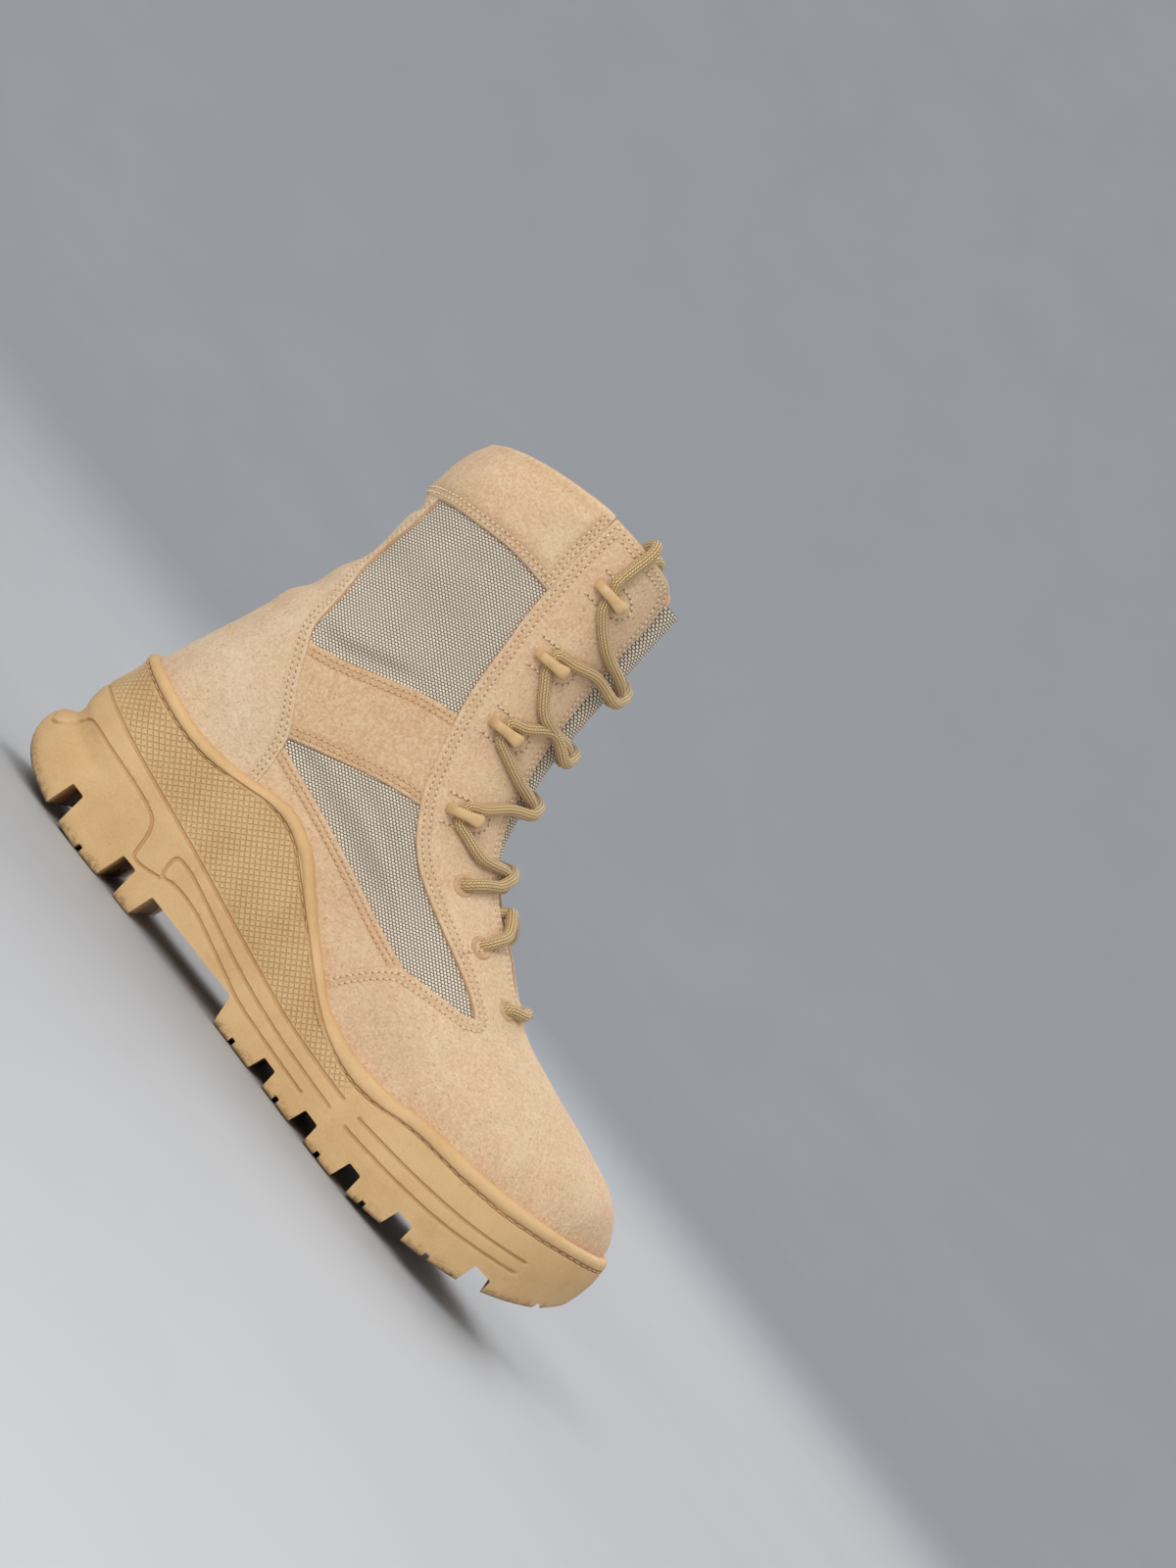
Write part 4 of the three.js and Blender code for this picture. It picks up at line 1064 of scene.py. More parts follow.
SOLE_SIDE = {
    "lift": [0, 0.03, 0.08, 0.25, 0.33, 0.4, 0.46, 0.52, 0.6, 0.96, 1],
    "rear": [3, 1.2, 0, 1.4, 4.2, 7.2, 7.0, 5.6, 5.2, 7.9, 7.6],
    "front": [314.5, 316.6, 317.5, 317.8, 318, 318, 318, 318, 318, 316.8, 316.4],
    "out": [4.6, 5.6, 6, 6.1, 6.2, 6.3, 6.3, 6.4, 6.3, 5.5, 5.2],
}
RIM_SIDE = {
    "share": [0, 0.14, 0.35, 0.6, 0.8, 0.93, 1],
    "rear": [7.6, 7.2, 7.0, 7.3, 8, 9, 10],
    "front": [316.4, 316.4, 316.3, 315.8, 315, 314.2, 313.4],
    "out": [5.2, 5.9, 6.2, 5.9, 5.0, 3.8, 2.6],
}
RIM_REACH = 4
BEAD_LOW = [(-10, 68), (8, 67.5), (20, 65), (30, 63.5), (40, 62.5), (50, 62), (60, 62.8), (70, 65.5),
            (80, 68.5), (87, 70.8), (95, 71.5), (103, 70.5), (110, 67.5), (120, 61.5), (130, 55.5), (140, 50),
            (150, 44), (160, 38.5), (170, 34), (180, 31), (190, 29.5), (200, 29.7), (210, 32), (220, 35.5),
            (230, 37.5), (240, 38.5), (250, 39.5), (260, 41), (270, 42.5), (280, 45), (290, 47.5),
            (300, 50.5), (325, 57)]
PANEL_LOW = [(-10, 50), (5.5, 49), (20, 46.5), (50, 41.5), (80, 37), (100, 33.5), (120, 30), (140, 26.5),
             (150, 25), (160, 23.8), (180, 23), (198, 22.8)]
HEEL_BLOCK = [(-10, 27), (1.5, 26), (3, 23), (5, 22), (8, 24), (13, 31), (15, 35), (18, 36.3), (30, 35.8),
              (50, 34.5), (60, 33), (65, 31), (68, 26), (70, 18), (71, 15.8), (75, 16), (80, 17.5), (84, 19)]
ARCH_BAND = [(197, 16.5), (180, 16.8), (160, 17.5), (140, 19.5), (120, 23.5), (100, 28), (90, 30), (83, 30),
             (81.5, 28), (84, 19), (88, 21.5), (95, 22.3), (105, 21.5), (120, 18), (130, 15.5), (140, 13),
             (150, 12), (185, 11)]
FORE_HIGH = [(208, 22.8), (230, 25), (250, 27.5), (270, 31), (293, 37)]
FORE_LOW = [(207, 16.5), (220, 17.5), (240, 19.5), (260, 22.5), (280, 27.5), (293, 31)]
# Each groove: its line, and the height at which it is closed to an outline, far above or below the sole.
GROOVES = [(smooth_line(line, 1), far) for line, far in (
    (BEAD_LOW, 200), (PANEL_LOW, 200), (HEEL_BLOCK, -60), (ARCH_BAND, None), (FORE_HIGH, 200),
    (FORE_LOW, 200),
)]
GROOVE_DEEP = 1.0
GROOVE_REACH = 2.6
NEAREST, SIGNED = 6, 7     # columns of the wall's values: distance to any groove, then to each
SHARP_ANGLE = 48
GROOVE_CUTS = (-0.85, -0.4, 0.4, 0.85)     # where the wall's mesh is split, from a groove's line
SOLE_COLUMNS = 230
HALF_WAY_UP = (4.5, 318, 6.4, 0.5, 0)      # a ring of the wall: rear, front, out, lift, place in the rim
WALL_LIFTS = np.concatenate([[0, 0.02, 0.045, 0.08], np.linspace(0.11, 1, 40)])
RIM_SHARES = np.linspace(0, 1, 11)[1:]
FLOOR_POINTS = 5     # between the two sides, where the sole is closed
POCKET_REAR = 12.8   # the pocket for the upper
POCKET_FRONT = 311.2
CUT_BASE = -6        # cutters of the tread start below the floor and reach past both sides
CUT_HALF = 90
CUT_ROUND = 0.5
PANEL_SIDE = (3, 318, 4.5)     # the wall's rear, front and out at the textured side panel
PANEL_END = 188      # where that panel starts to fade, and where it is gone
PANEL_GONE = 202
HEEL_TURN = 45       # the place from which the heel goes round, and the length of a radian of it
HEEL_RADIUS = 34


def sole_half(x, rear, front, out):
    """Half the width of the sole's wall that starts and ends at rear and front and stands out so far."""
    heel = rise((x - rear) / (HEEL_ROUND + RIM_REACH))
    toe = rise((front - x) / (TOE_ROUND + RIM_REACH), TOE_POWER)
    return (column(PLAN, "half", x) + out) * heel * toe


def sole_ring(t, rear, front, out, lift, in_rim):
    """Outer side of one ring of the sole's wall, as x, half width and z at shares t along the boot."""
    x = rear + (front - rear) * t
    tread = column(TREAD, "z", x)
    top = column(RIM_TOP, "z", x)
    groove = top - column(RIM_HEIGHT, "z", x)
    z = tread + (groove - tread) * lift + (top - groove) * in_rim
    return x, sole_half(x, rear, front, out), z


def even_shares():
    """Shares along the boot that space the wall's points evenly round it."""
    crowded = crowded_shares(600)
    x, half, _ = sole_ring(crowded, *HALF_WAY_UP)
    along = run_length(np.stack([x, half], 1))
    return np.interp(np.linspace(0, along[-1], SOLE_COLUMNS), along, crowded)


def sole_wall(shares):
    """Rings of points from the tread's edge up to the top of the rim."""
    levels = [(SOLE_SIDE, lift, lift, 0) for lift in WALL_LIFTS]
    levels += [(RIM_SIDE, share, 1, share) for share in RIM_SHARES]
    rings = []
    for table, at, lift, in_rim in levels:
        side = [float(column(table, name, at)) for name in ("rear", "front", "out")]
        x, half, z = sole_ring(shares, *side, lift, in_rim)
        rings.append(both_sides(x, half, column(PLAN, "middle", x), z))
    return np.array(rings)


def groove_distance(x, z):
    """Distance to the nearest groove's line, seen from the side."""
    return np.min([nearest_on(line, x, z)[0] for line, _ in GROOVES], axis=0)


def inside_groove(line, far, x, z):
    """Distance inside the outline that a groove bounds."""
    corners = [] if far is None else [(line[-1][0], far), (line[0][0], far)]
    return in_outline(np.concatenate([line, np.reshape(corners, (-1, 2))]), x, z)[0]


def wedge(outline, low, high):
    """A prism across the boot, as an object to cut with."""
    points = [(x, y, z) for y in (low, high) for x, z in outline]
    return make_piece("cutter", points, tube_faces(2, len(outline), flip=True))


def tread_cutters():
    """Prisms that cut the tread's gaps, its sipes and its lengthwise channels."""
    cutters = []
    for start, end, roof in TREAD_GAPS:
        lean = 4.5 if end - start > 30 else 1.2
        start_roof, end_roof = start + 1.2, end - lean
        cutters.append(wedge([
            (start - 0.8, CUT_BASE), (end + 0.8 + lean / 4, CUT_BASE),
            (end - lean * 0.8, roof - CUT_ROUND), (end_roof - CUT_ROUND, roof),
            (start_roof + CUT_ROUND, roof), (start_roof, roof - CUT_ROUND),
        ], -CUT_HALF, CUT_HALF))
    for x in SIPES:
        low = float(column(TREAD, "z", x))
        sides = [(-1.3, -3), (1.3, -3), (1.1, 2.6), (-1.1, 2.6)]
        cutters.append(wedge([(x + across, low + up) for across, up in sides], -CUT_HALF, CUT_HALF))
    roof = [(x, float(column(TREAD, "z", x)) + 5) for x in range(6, 307, 12)]
    for y in CHANNELS:
        cutters.append(wedge([(6, CUT_BASE), (306, CUT_BASE)] + roof[::-1], y - 2, y + 2))
    return cutters


def cut_tread(piece):
    """Cuts the tread's gaps, sipes and channels out of the sole."""
    for cutter in tread_cutters():
        cut = piece.modifiers.new("cut", "BOOLEAN")
        cut.object = cutter
        cut.operation = "DIFFERENCE"
        cut.solver = "MANIFOLD"
        bpy.context.view_layer.update()
        result = piece.evaluated_get(bpy.context.evaluated_depsgraph_get())
        piece.data = bpy.data.meshes.new_from_object(result)
        piece.modifiers.clear()
        bpy.data.objects.remove(cutter)


def grooved_wall(shares):
    """The sole's wall, its mesh split along the grooves and pressed in there. Gives points and faces."""
    wall = sole_wall(shares)
    flat = wall.reshape(-1, 3)
    x, z = flat[:, 0], flat[:, 2]
    signed = [inside_groove(line, far, x, z) for line, far in GROOVES]
    data = list(np.column_stack([flat, grid_normals(wall).reshape(-1, 3), groove_distance(x, z)] + signed))
    polygons = ring_quads(*wall.shape[:2]).tolist()
    for k in range(len(GROOVES)):
        for level in GROOVE_CUTS:
            polygons, _ = cut_along(data, polygons, SIGNED + k, level, near=NEAREST, reach=GROOVE_REACH)
    values = np.array(data)
    deep = GROOVE_DEEP * (1 - smooth_step(0.38, 0.9, groove_distance(values[:, 0], values[:, 2])))
    deep[:wall.shape[1]] = 0
    return list(values[:, :3] - unit(values[:, 3:6]) * deep[:, None]), polygons


def bridge(points, ring):
    """Faces that close a ring of the sole from side to side, over a few new points between."""
    ladder = []
    for a, b in zip(ring[1:SOLE_COLUMNS - 1], ring[:SOLE_COLUMNS - 1:-1]):
        first = len(points)
        for k in range(1, FLOOR_POINTS + 1):
            share = k / (FLOOR_POINTS + 1)
            points.append(points[a] * (1 - share) + points[b] * share)
        ladder.append([a, *range(first, len(points)), b])
    faces = [[ring[0]] + ladder[0][::-1], ladder[-1] + [ring[SOLE_COLUMNS - 1]]]
    for before, after in zip(ladder[:-1], ladder[1:]):
        for k in range(FLOOR_POINTS + 1):
            faces.append([before[k], before[k + 1], after[k + 1], after[k]])
    return faces


def sole_piece():
    """The moulded sole: grooved wall, tread with its gaps, and the pocket that the upper sits in."""
    shares = even_shares()
    points, faces = grooved_wall(shares)
    count = 2 * SOLE_COLUMNS - 2
    faces += bridge(points, list(range(count)))
    lip = [k + (len(WALL_LIFTS) + len(RIM_SHARES) - 1) * count for k in range(count)]
    x = POCKET_REAR + (POCKET_FRONT - POCKET_REAR) * shares
    rim_top = column(RIM_TOP, "z", x)
    for z in (rim_top - 0.6, rim_top - 5, column(FOOTBED, "z", x) + 0.1):
        after = [len(points) + k for k in range(count)]
        points.extend(both_sides(x, skin_half(x, z) + GAP, skin_middle(x, z), z))
        faces += [[lip[k - 1], lip[k], after[k], after[k - 1]] for k in range(count)]
        lip = after
    faces += [face[::-1] for face in bridge(points, lip)]
    piece = make_piece("sole_moulded", points, faces)
    cut_tread(piece)
    piece.data.shade_smooth()
    piece.data.set_sharp_from_angle(angle=math.radians(SHARP_ANGLE))
    mark_sole(piece.data)
    return piece


def mark_sole(mesh):
    """Values for the rubber: place on the textured side panel and its share, grooves, and height over the
    tread."""
    points = np.empty(len(mesh.vertices) * 3)
    mesh.vertices.foreach_get("co", points)
    x, y, z = (points.reshape(-1, 3) * 1000 + ORIGIN).T
    low = np.interp(x, *np.array(PANEL_LOW).T)
    high = np.interp(x, *np.array(BEAD_LOW).T)
    textured = smooth_step(0.7, 1.3, z - low) * smooth_step(0.7, 1.3, high - z)
    textured *= smooth_step(PANEL_GONE, PANEL_END, x)
    outward = np.abs(y - column(PLAN, "middle", x)) + 4
    textured *= smooth_step(0.78, 0.9, outward / np.maximum(sole_half(x, *PANEL_SIDE), 1))
    ahead = x - HEEL_TURN
    around = np.arctan2(np.abs(y), np.maximum(-ahead, 0.01)) * HEEL_RADIUS + np.maximum(ahead, 0)
    set_values(mesh, {
        "wall": np.column_stack([around, z, textured]),
        "groove": 1 - smooth_step(0.25, 0.8, groove_distance(x, z)),
        "over_tread": z - column(TREAD, "z", x),
    })


sole = sole_piece()


WELT_PITCH = 5.0
WELT_REAR = 7.4
WELT_FRONT = 316.4
WELT_SIDE = (7.6, WELT_FRONT, 4.7)     # the wall's rear, front and out there
WELT_WIDE = 0.7
WELT_HOLE = 0.6


def welt_stitches():
    """The stitched groove under the bead, round the whole boot."""
    x = WELT_REAR + (WELT_FRONT - WELT_REAR) * even_shares()
    z = np.interp(x, *smooth_line(BEAD_LOW, 1).T)
    ring = both_sides(x, sole_half(x, *WELT_SIDE), column(PLAN, "middle", x), z)
    outward = unit(np.cross(np.roll(ring, -1, axis=0) - np.roll(ring, 1, axis=0), UP))
    return stitch_row(np.vstack([ring, ring[:1]]), np.vstack([outward, outward[:1]]), WELT_PITCH)


# ---------------------------------------------------------------- materials

WEAVE_ACROSS = 1.45
WEAVE_UP = 1.22
PYRAMID_PITCH = 3.2


def tint(red, green, blue):
    """A colour from 0 to 255 as the linear colour that a shader takes."""
    def channel(value):
        share = value / 255
        return share / 12.92 if share <= 0.04045 else ((share + 0.055) / 1.055) ** 2.4
    return (channel(red), channel(green), channel(blue), 1)


class Shader:
    """A material and its nodes. Each method adds one node and gives its output."""

    def __init__(self, name, **fixed):
        self.material = bpy.data.materials.new(name)
        self.material.use_nodes = True
        self.nodes = self.material.node_tree.nodes
        self.links = self.material.node_tree.links
        self.surface = self.nodes["Principled BSDF"]
        for key, value in fixed.items():
            self.surface.inputs[key.replace("_", " ")].default_value = value
        self.here = self.add("TexCoord").outputs["Object"]

    def put(self, value, socket):
        """Gives the socket a value, or links it to another node's output."""
        if isinstance(value, Out):
            value = value.socket
        if isinstance(value, bpy.types.NodeSocket):
            self.links.new(value, socket)
        else:
            socket.default_value = value

    def add(self, kind, values=(), **settings):
        """A node with its settings. values are what goes into its sockets, by name or number."""
        node = self.nodes.new("ShaderNode" + kind)
        for key, value in settings.items():
            setattr(node, key, value)
        for key, value in dict(values).items():
            self.put(value, node.inputs[key])
        return node

    def math(self, operation, *values):
        return Out(self, self.add("Math", enumerate(values), operation=operation).outputs[0])

    def mix(self, share, first, second):
        return Out(self, self.add("Mix", {0: share, 6: first, 7: second}, data_type="RGBA").outputs[2])

    def noise(self, size, detail=2.0, rough=0.55):
        """Cloudy noise whose lumps are about size millimetres."""
        values = {"Scale": 1000 / size, "Detail": detail, "Roughness": rough, "Vector": self.here}
        return Out(self, self.add("TexNoise", values).outputs["Fac"])

    def value(self, name):
        return Out(self, self.add("Attribute", attribute_name=name).outputs["Fac"])

    def parts(self, name):
        """The three numbers of a vector value on the mesh."""
        vector = self.add("Attribute", attribute_name=name).outputs["Vector"]
        return [Out(self, socket) for socket in self.add("SeparateXYZ", {0: vector}).outputs]

    def step(self, value, low, high, start=0.0, end=1.0):
        """Smooth change from start to end as the value goes from low to high."""
        values = {"Value": value, "From Min": low, "From Max": high, "To Min": start, "To Max": end}
        return Out(self, self.add("MapRange", values, interpolation_type="SMOOTHSTEP").outputs[0])

    def relief(self, height, deep, before=None):
        """Bump of a height from 0 to 1 that stands for deep millimetres."""
        values = {"Strength": 1.0, "Distance": deep / 1000, "Height": height}
        if before is not None:
            values["Normal"] = before
        return Out(self, self.add("Bump", values).outputs[0])

    def finish(self, colour, normal=None, roughness=None):
        """Sets the surface's colour, normal and roughness, and gives the material."""
        for key, value in (("Base Color", colour), ("Normal", normal), ("Roughness", roughness)):
            if value is not None:
                self.put(value, self.surface.inputs[key])
        return self.material


def operator(operation):
    """The method that adds a Math node of the operation."""
    return lambda self, *others: self.shader.math(operation, self, *others)


class Out:
    """The output of a node. Sums written with it add the Math nodes that do them."""

    def __init__(self, shader, socket):
        self.shader = shader
        self.socket = socket

    __add__ = operator("ADD")
    __sub__ = operator("SUBTRACT")
    __mul__ = operator("MULTIPLY")
    __truediv__ = operator("DIVIDE")
    __mod__ = operator("FLOORED_MODULO")
    __pow__ = operator("POWER")
    __abs__ = operator("ABSOLUTE")
    floor = operator("FLOOR")

    def __rsub__(self, other):
        return self.shader.math("SUBTRACT", other, self)

    def within(self):
        """Place within the cell from one whole number to the next, -0.5 to 0.5."""
        return self - self.floor() - 0.5


def darker(colour, share):
    """The colour with its light cut to a share."""
    return tuple(share * channel for channel in colour[:3]) + (1,)


def suede_material(name, main, warm, pale):
    """Brushed sand suede: cloudy nap, warm and pale patches, pores, darker raw cut edges, and painted shade
    along the stitch rows.
    """
    m = Shader(name, Sheen_Weight=0.16, Sheen_Roughness=0.5, Specular_IOR_Level=0.2,
               Sheen_Tint=tint(255, 236, 214))
    colour = m.mix(m.step(m.noise(34, 3), 0.38, 0.68), main, warm)
    colour = m.mix(m.step(m.noise(15, 3), 0.42, 0.75), colour, pale)
    cloud = m.step(m.noise(4.2, 4, 0.65), 0.3, 0.72)
    nap = m.step(m.noise(1.5, 3, 0.75), 0.36, 0.66)
    pores = m.step(m.noise(1.1, 2, 0.7), 0.56, 0.74)
    inside = m.value("inside")
    raw = m.step(inside, 0.1, 0.42, 1.0, 0.0)
    # a darker band along the stitch rows: painted shade of the stitch grooves
    seam = m.step(inside, 1.2, 2.4) * m.step(inside, 5.2, 6.8, 1.0, 0.0)
    for share, strength, shade in (
        (cloud, 0.42, (202, 165, 124)), (nap, 0.55, (238, 212, 178)), (pores, 0.6, (172, 132, 92)),
        (raw, 0.5, (178, 122, 78)), (seam, 0.2, (196, 148, 102)),
    ):
        colour = m.mix(share * strength, colour, tint(*shade))
    height = nap * 0.5 + cloud * 0.6 - pores * 0.5
    normal = m.relief(height, 0.2, m.relief(m.noise(2.6, 3), 0.3))
    return m.finish(colour, normal, m.step(m.noise(9, 2), 0.3, 0.7, 0.84, 0.96))


def weave_material(name, light, dark, turn):
    """Woven cloth: oval threads in a staggered lattice over a dark ground of painted shade between them,
    turned by so many degrees.
    """
    m = Shader(name, Sheen_Weight=0.15, Sheen_Roughness=0.5, Specular_IOR_Level=0.3)
    cloth_x, cloth_up, _ = m.parts("cloth")
    cosine, sine = math.cos(math.radians(turn)), math.sin(math.radians(turn))
    rows = (cloth_up * cosine - cloth_x * sine) / WEAVE_UP
    row = rows.floor()
    part_up = rows - row - 0.5
    columns = (cloth_x * cosine + cloth_up * sine) / WEAVE_ACROSS + row % 2.0 * 0.5 + part_up * 0.12
    oval = abs(columns.within() / 0.44) ** 2.0 + abs(part_up / 0.5) ** 2.0
    thread = m.step(oval, 0.62, 1.1, 1.0, 0.0)
    spin = m.noise(0.9, 3, 0.7)
    shade = m.mix(m.step(spin, 0.3, 0.7), light, darker(light, 0.78))
    shade = m.mix(m.step(m.noise(17, 2), 0.35, 0.7, 0.0, 0.35), shade, darker(light, 0.8))
    # the ground between the threads takes the dark colour: painted shade
    return m.finish(m.mix(thread, dark, shade), m.relief(thread + spin * 0.25, 0.3), 0.82)


def lining_material(name, dark, light):
    """Brushed fibres in two shades."""
    m = Shader(name, Sheen_Weight=0.4, Specular_IOR_Level=0.25)
    fuzz = m.step(m.noise(0.8, 4, 0.7), 0.3, 0.7)
    colour = m.mix(m.step(m.noise(12, 2), 0.4, 0.7, 0.0, 0.4), m.mix(fuzz, dark, light), darker(dark, 0.7))
    return m.finish(colour, m.relief(fuzz, 0.25), 0.93)


def rubber_material():
    """Moulded sand rubber: a lattice of small pyramids on the side panel, scuffs and grime near the floor."""
    m = Shader("sole_rubber", Specular_IOR_Level=0.4)
    around, up, textured = m.parts("wall")
    slants = [slant / PYRAMID_PITCH for slant in (around + up * 1.05, around - up * 1.05)]
    tall = [1.0 - abs(slant.within()) * 2.0 for slant in slants]
    pyramid = m.step(m.math("MINIMUM", *tall), 0.04, 0.3)
    colour = m.mix(m.step(m.noise(22, 3), 0.35, 0.7), tint(221, 182, 129), tint(211, 169, 114))
    speck = m.step(m.noise(1.1, 4, 0.7), 0.35, 0.75)
    valley = (1.0 - pyramid) * textured
    shadow = m.math("MAXIMUM", valley * 0.08, m.value("groove") * 0.5)
    over_tread = m.value("over_tread")
    patch = m.step(m.noise(2.6, 5, 0.75), 0.45, 0.64)
    worn = m.step(over_tread, 0.6, 6.0, 0.6, 0.0) * patch
    dirt = m.math("MINIMUM", worn + m.step(over_tread, 0.1, 1.6, 0.5, 0.0), 0.75)
    dust = m.step(m.noise(3, 5, 0.75), 0.56, 0.74) * 0.3
    for share, shade in (
        (speck * 0.25, (232, 202, 158)), (shadow * 0.55, (150, 108, 64)), (dirt, (112, 86, 62)),
        (dust, (168, 132, 92)),
    ):
        colour = m.mix(share, colour, tint(*shade))
    normal = m.relief((pyramid - 1.0) * textured + 1.0, 0.42)
    normal = m.relief(speck + m.noise(0.35, 2), 0.07, normal)
    return m.finish(colour, normal, m.step(m.noise(5, 3), 0.3, 0.7, 0.55, 0.74))


def lace_material():
    """Braided cord: columns of short slanted cells that lean in turn to either side, with painted shade in
    the gaps between them.
    """
    m = Shader("lace", Sheen_Weight=0.25, Specular_IOR_Level=0.3)
    length, cosine, sine = m.parts("braid")
    columns = (m.math("ARCTAN2", sine, cosine) / (2 * math.pi) + 0.5) * 12.0
    number = columns.floor()
    across = columns - number - 0.5
    odd = number % 2.0
    cells = length / 1.35 + odd * 0.5 + (odd * 2.0 - 1.0) * across * 0.75
    wide = (abs(across) * 2.0) ** 2.5
    tall = (abs(cells.within()) * 2.0) ** 3.0
    cell = m.step(wide + tall, 0.15, 1.15, 1.0, 0.0)
    fibre = m.noise(0.5, 3, 0.7)
    light = m.mix(m.step(fibre, 0.3, 0.7), tint(238, 205, 148), tint(214, 180, 124))
    light = m.mix(m.step(m.noise(8, 2), 0.4, 0.7, 0.0, 0.4), light, tint(214, 176, 122))
    # tint(138, 107, 66) between the cells is painted shade in the braid's gaps
    colour = m.mix(cell, tint(138, 107, 66), light)
    return m.finish(colour, m.relief(cell + fibre * 0.2, 0.3), 0.78)


def moulded_material(name, colour, shade, roughness):
    """Smooth moulded plastic with a fine grain and rubbed patches."""
    m = Shader(name, Specular_IOR_Level=0.45)
    grain = m.noise(0.6, 3, 0.6)
    mixed = m.mix(m.step(m.noise(4, 3), 0.35, 0.7), colour, shade)
    return m.finish(mixed, m.relief(grain, 0.05), m.step(grain, 0.3, 0.7, roughness - 0.06, roughness + 0.08))


def thread_material(name, light, shade):
    """Waxed thread."""
    m = Shader(name, Sheen_Weight=0.2, Specular_IOR_Level=0.4)
    twist = m.step(m.noise(0.45, 2), 0.35, 0.65)
    return m.finish(m.mix(twist, light, shade), m.relief(twist, 0.08), 0.6)


def studio_material():
    """Plain pale floor."""
    m = Shader("studio_floor", Specular_IOR_Level=0.3)
    colour = m.mix(m.step(m.noise(160, 2), 0.3, 0.7, 0.0, 0.3), tint(180, 181, 183), tint(172, 174, 177))
    return m.finish(colour, None, 0.6)


SUEDE = suede_material("suede", tint(217, 183, 144), tint(221, 177, 144), tint(226, 197, 160))
SUEDE_TAN = suede_material("suede_tan", tint(209, 171, 128), tint(212, 166, 128), tint(217, 182, 141))
SUEDE_PALE = suede_material("suede_pale", tint(219, 191, 157), tint(219, 182, 151), tint(228, 205, 177))
# the second colour of each weave is painted shade between the threads
FABRIC_WEAVE = weave_material("woven_fabric", tint(255, 241, 218), tint(66, 47, 31), turn=28)
TONGUE_WEAVE = weave_material("tongue_fabric", tint(255, 240, 216), tint(66, 48, 32), turn=0)
# dark discs at the needle holes: painted shade
NEEDLE_HOLE_SHADE = lining_material("needle_hole_shade", tint(152, 104, 62), tint(174, 126, 80))
LINING_CLOTH = lining_material("lining", tint(112, 92, 66), tint(150, 128, 96))
THREAD = thread_material("thread", tint(238, 218, 184), tint(218, 190, 150))
THREAD_TAN = thread_material("thread_tan", tint(224, 188, 142), tint(206, 168, 124))
LACE_BRAID = lace_material()


# ---------------------------------------------------------------- finishing the pieces

def finish_shell():
    """Woven cloth outside, knit lining inside."""
    finish_piece(shell, FABRIC_WEAVE, "suede", "upper")
    shell.data.materials.append(LINING_CLOTH)
    inside = np.empty(len(shell.data.vertices))
    shell.data.attributes["inside"].data.foreach_get("value", inside)
    for face in shell.data.polygons:
        face.material_index = int(all(inside[k] < INNER_MARK + 0.1 for k in face.vertices))


finish_shell()
PIECE_SUEDE = {"strap": SUEDE_TAN, "backstay": SUEDE_PALE}
for piece in UPPER_PIECES:
    finish_piece(piece, PIECE_SUEDE.get(piece.name, SUEDE), "suede")
finish_piece(cuff, SUEDE, "suede", "collar_cuff")
finish_piece(tongue, TONGUE_WEAVE, "tongue_cloth", "tongue")
finish_piece(insole, LINING_CLOTH, "insole_cloth", "insole")
finish_piece(sole, rubber_material(), "sole_rubber", "sole")
SEAM_THREAD = {"strap": THREAD_TAN, "quarter": THREAD_TAN}
for seam, places in STITCHES.items():
    stitches = stitch_piece(f"stitches_{seam}", places)
    finish_piece(stitches, SEAM_THREAD.get(seam, THREAD), "suede", holes=NEEDLE_HOLE_SHADE)
welt = stitch_piece("stitches_welt", welt_stitches(), WELT_PITCH, WELT_WIDE, WELT_HOLE)
finish_piece(welt, THREAD_TAN, "sole_rubber", holes=NEEDLE_HOLE_SHADE)
for piece, stands_for in LACE_PIECES:
    finish_piece(piece, LACE_BRAID, "lace", *stands_for)
RING = moulded_material("eyelet_ring", tint(204, 168, 126), tint(190, 150, 108), 0.62)
BAR = moulded_material("loop_bar", tint(216, 181, 130), tint(204, 167, 116), 0.46)
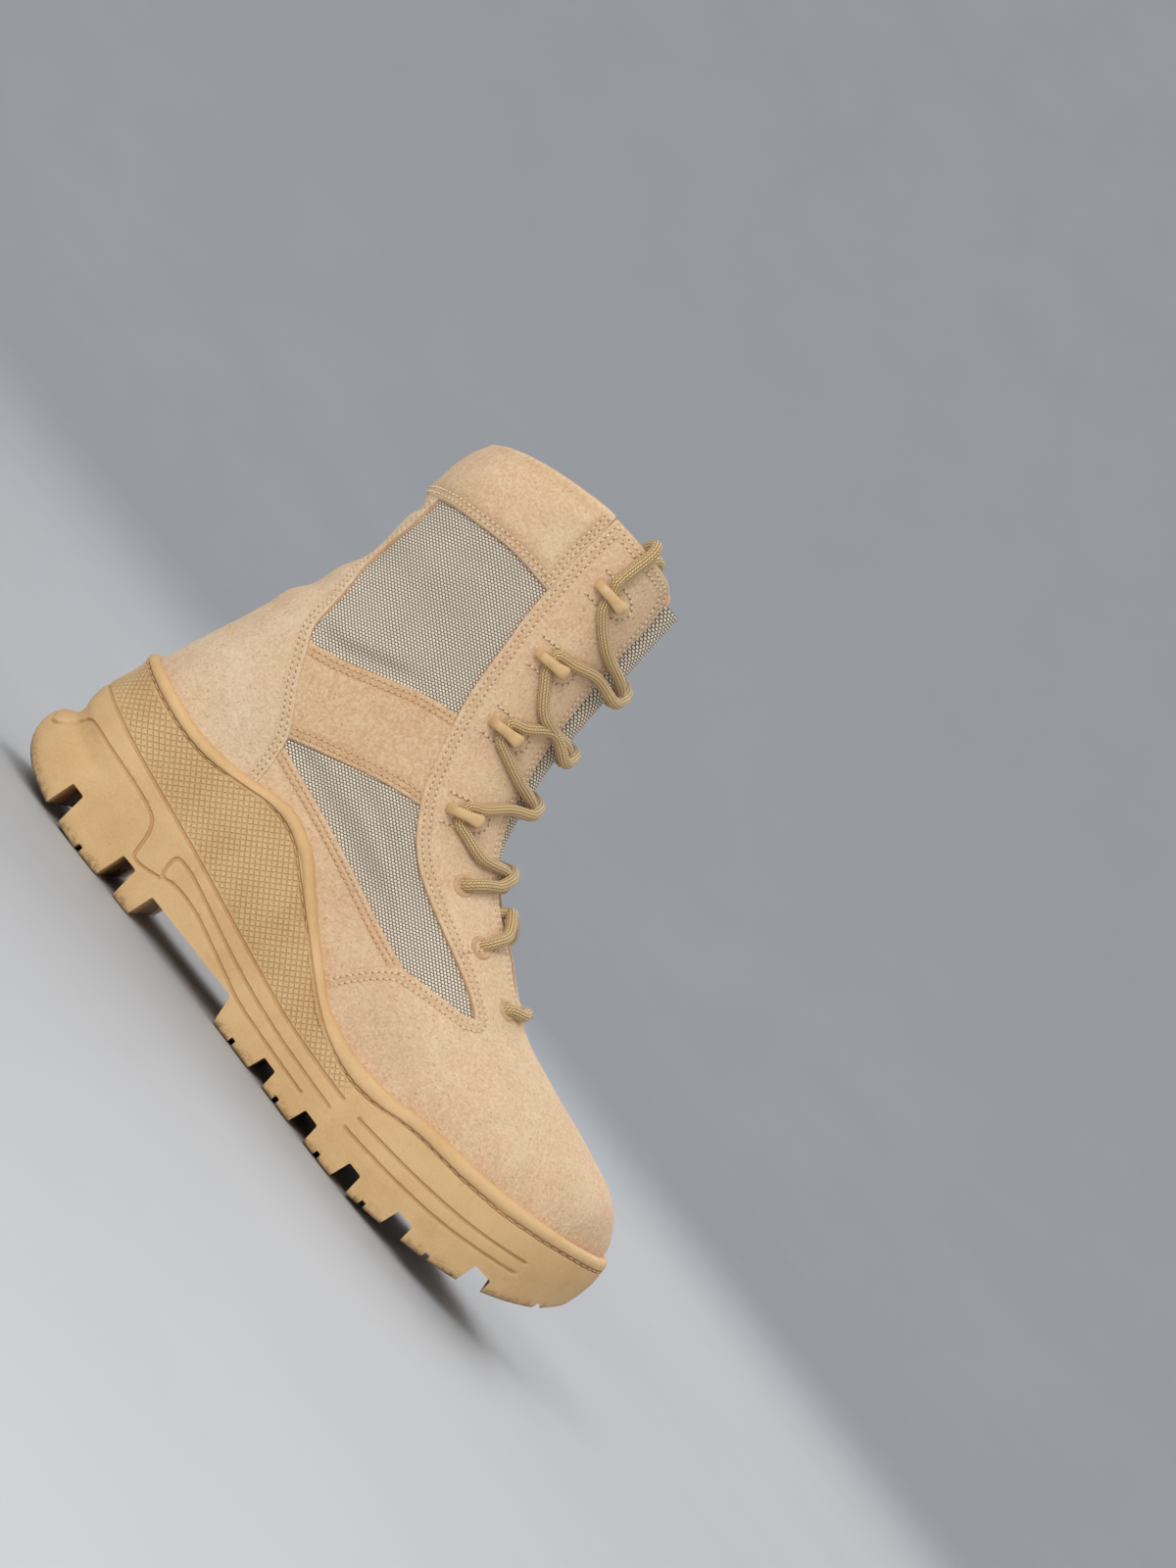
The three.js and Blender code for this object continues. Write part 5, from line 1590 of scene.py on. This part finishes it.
for label, side in SIDES.items():
    for i, (x, z) in enumerate(EYELETS, 1):
        ring = eyelet_piece(f"eyelet_ring_{label}_{i}", x, z, side)
        finish_piece(ring, RING, "eyelet", f"eyelet_{label}_{i}")
    for i in range(1, len(LOOPS) + 1):
        bar = loop_piece(f"loop_bar_{label}_{i}", i - 1, side)
        finish_piece(bar, BAR, "lace_loop", f"lace_loop_{label}_{i}")


# ---------------------------------------------------------------- studio

FLOOR_RADIUS = 9000
FLOOR_FLAT = 2500    # the floor rises from here out
FLOOR_RISE = 7000
FLOOR_DROP = 0.4     # how far it lies under the sole
LIGHT_COLOUR = (1.0, 0.985, 0.96)
LIGHT_AIM = Vector((0, 0, 0.11))


def studio_floor():
    """A wide shallow bowl: flat under the boot, rising far away."""
    rings, around = 40, 96
    points = [(ORIGIN[0], ORIGIN[1], -FLOOR_DROP)]
    for i in range(1, rings + 1):
        radius = FLOOR_RADIUS * (i / rings) ** 1.6
        height = FLOOR_RISE * float(smooth_step(FLOOR_FLAT, FLOOR_RADIUS, radius)) - FLOOR_DROP
        for k in range(around):
            angle = 2 * math.pi * k / around
            points.append(ORIGIN + [radius * math.cos(angle), radius * math.sin(angle), height])
    faces = [(0, 1 + k, 1 + (k + 1) % around) for k in range(around)]
    faces += tube_faces(rings, around, first=1, flip=True, capped=False)
    floor = make_piece("studio_floor", points, faces)
    floor.data.materials.append(studio_material())


def soft_light(name, at, size, power):
    """An area light that faces the boot."""
    data = bpy.data.lights.new(name, "AREA")
    data.size = size
    data.energy = power
    data.color = LIGHT_COLOUR
    light = bpy.data.objects.new(name, data)
    light.location = at
    light.rotation_euler = (LIGHT_AIM - Vector(at)).to_track_quat("-Z", "Y").to_euler()
    bpy.context.scene.collection.objects.link(light)


def studio():
    """Pale floor, even sky and three soft lights."""
    studio_floor()
    world = bpy.data.worlds.new("studio")
    world.use_nodes = True
    background = world.node_tree.nodes["Background"]
    background.inputs["Color"].default_value = (0.93, 0.96, 1.0, 1)
    background.inputs["Strength"].default_value = 0.95
    bpy.context.scene.world = world
    soft_light("key", (-0.6, -1.35, 0.8), 0.7, 13)
    soft_light("fill", (1.1, -1.1, 0.5), 0.9, 3.0)
    soft_light("rim", (0.3, 1.2, 1.0), 0.8, 7)


studio()
bpy.context.scene.view_settings.view_transform = "Standard"
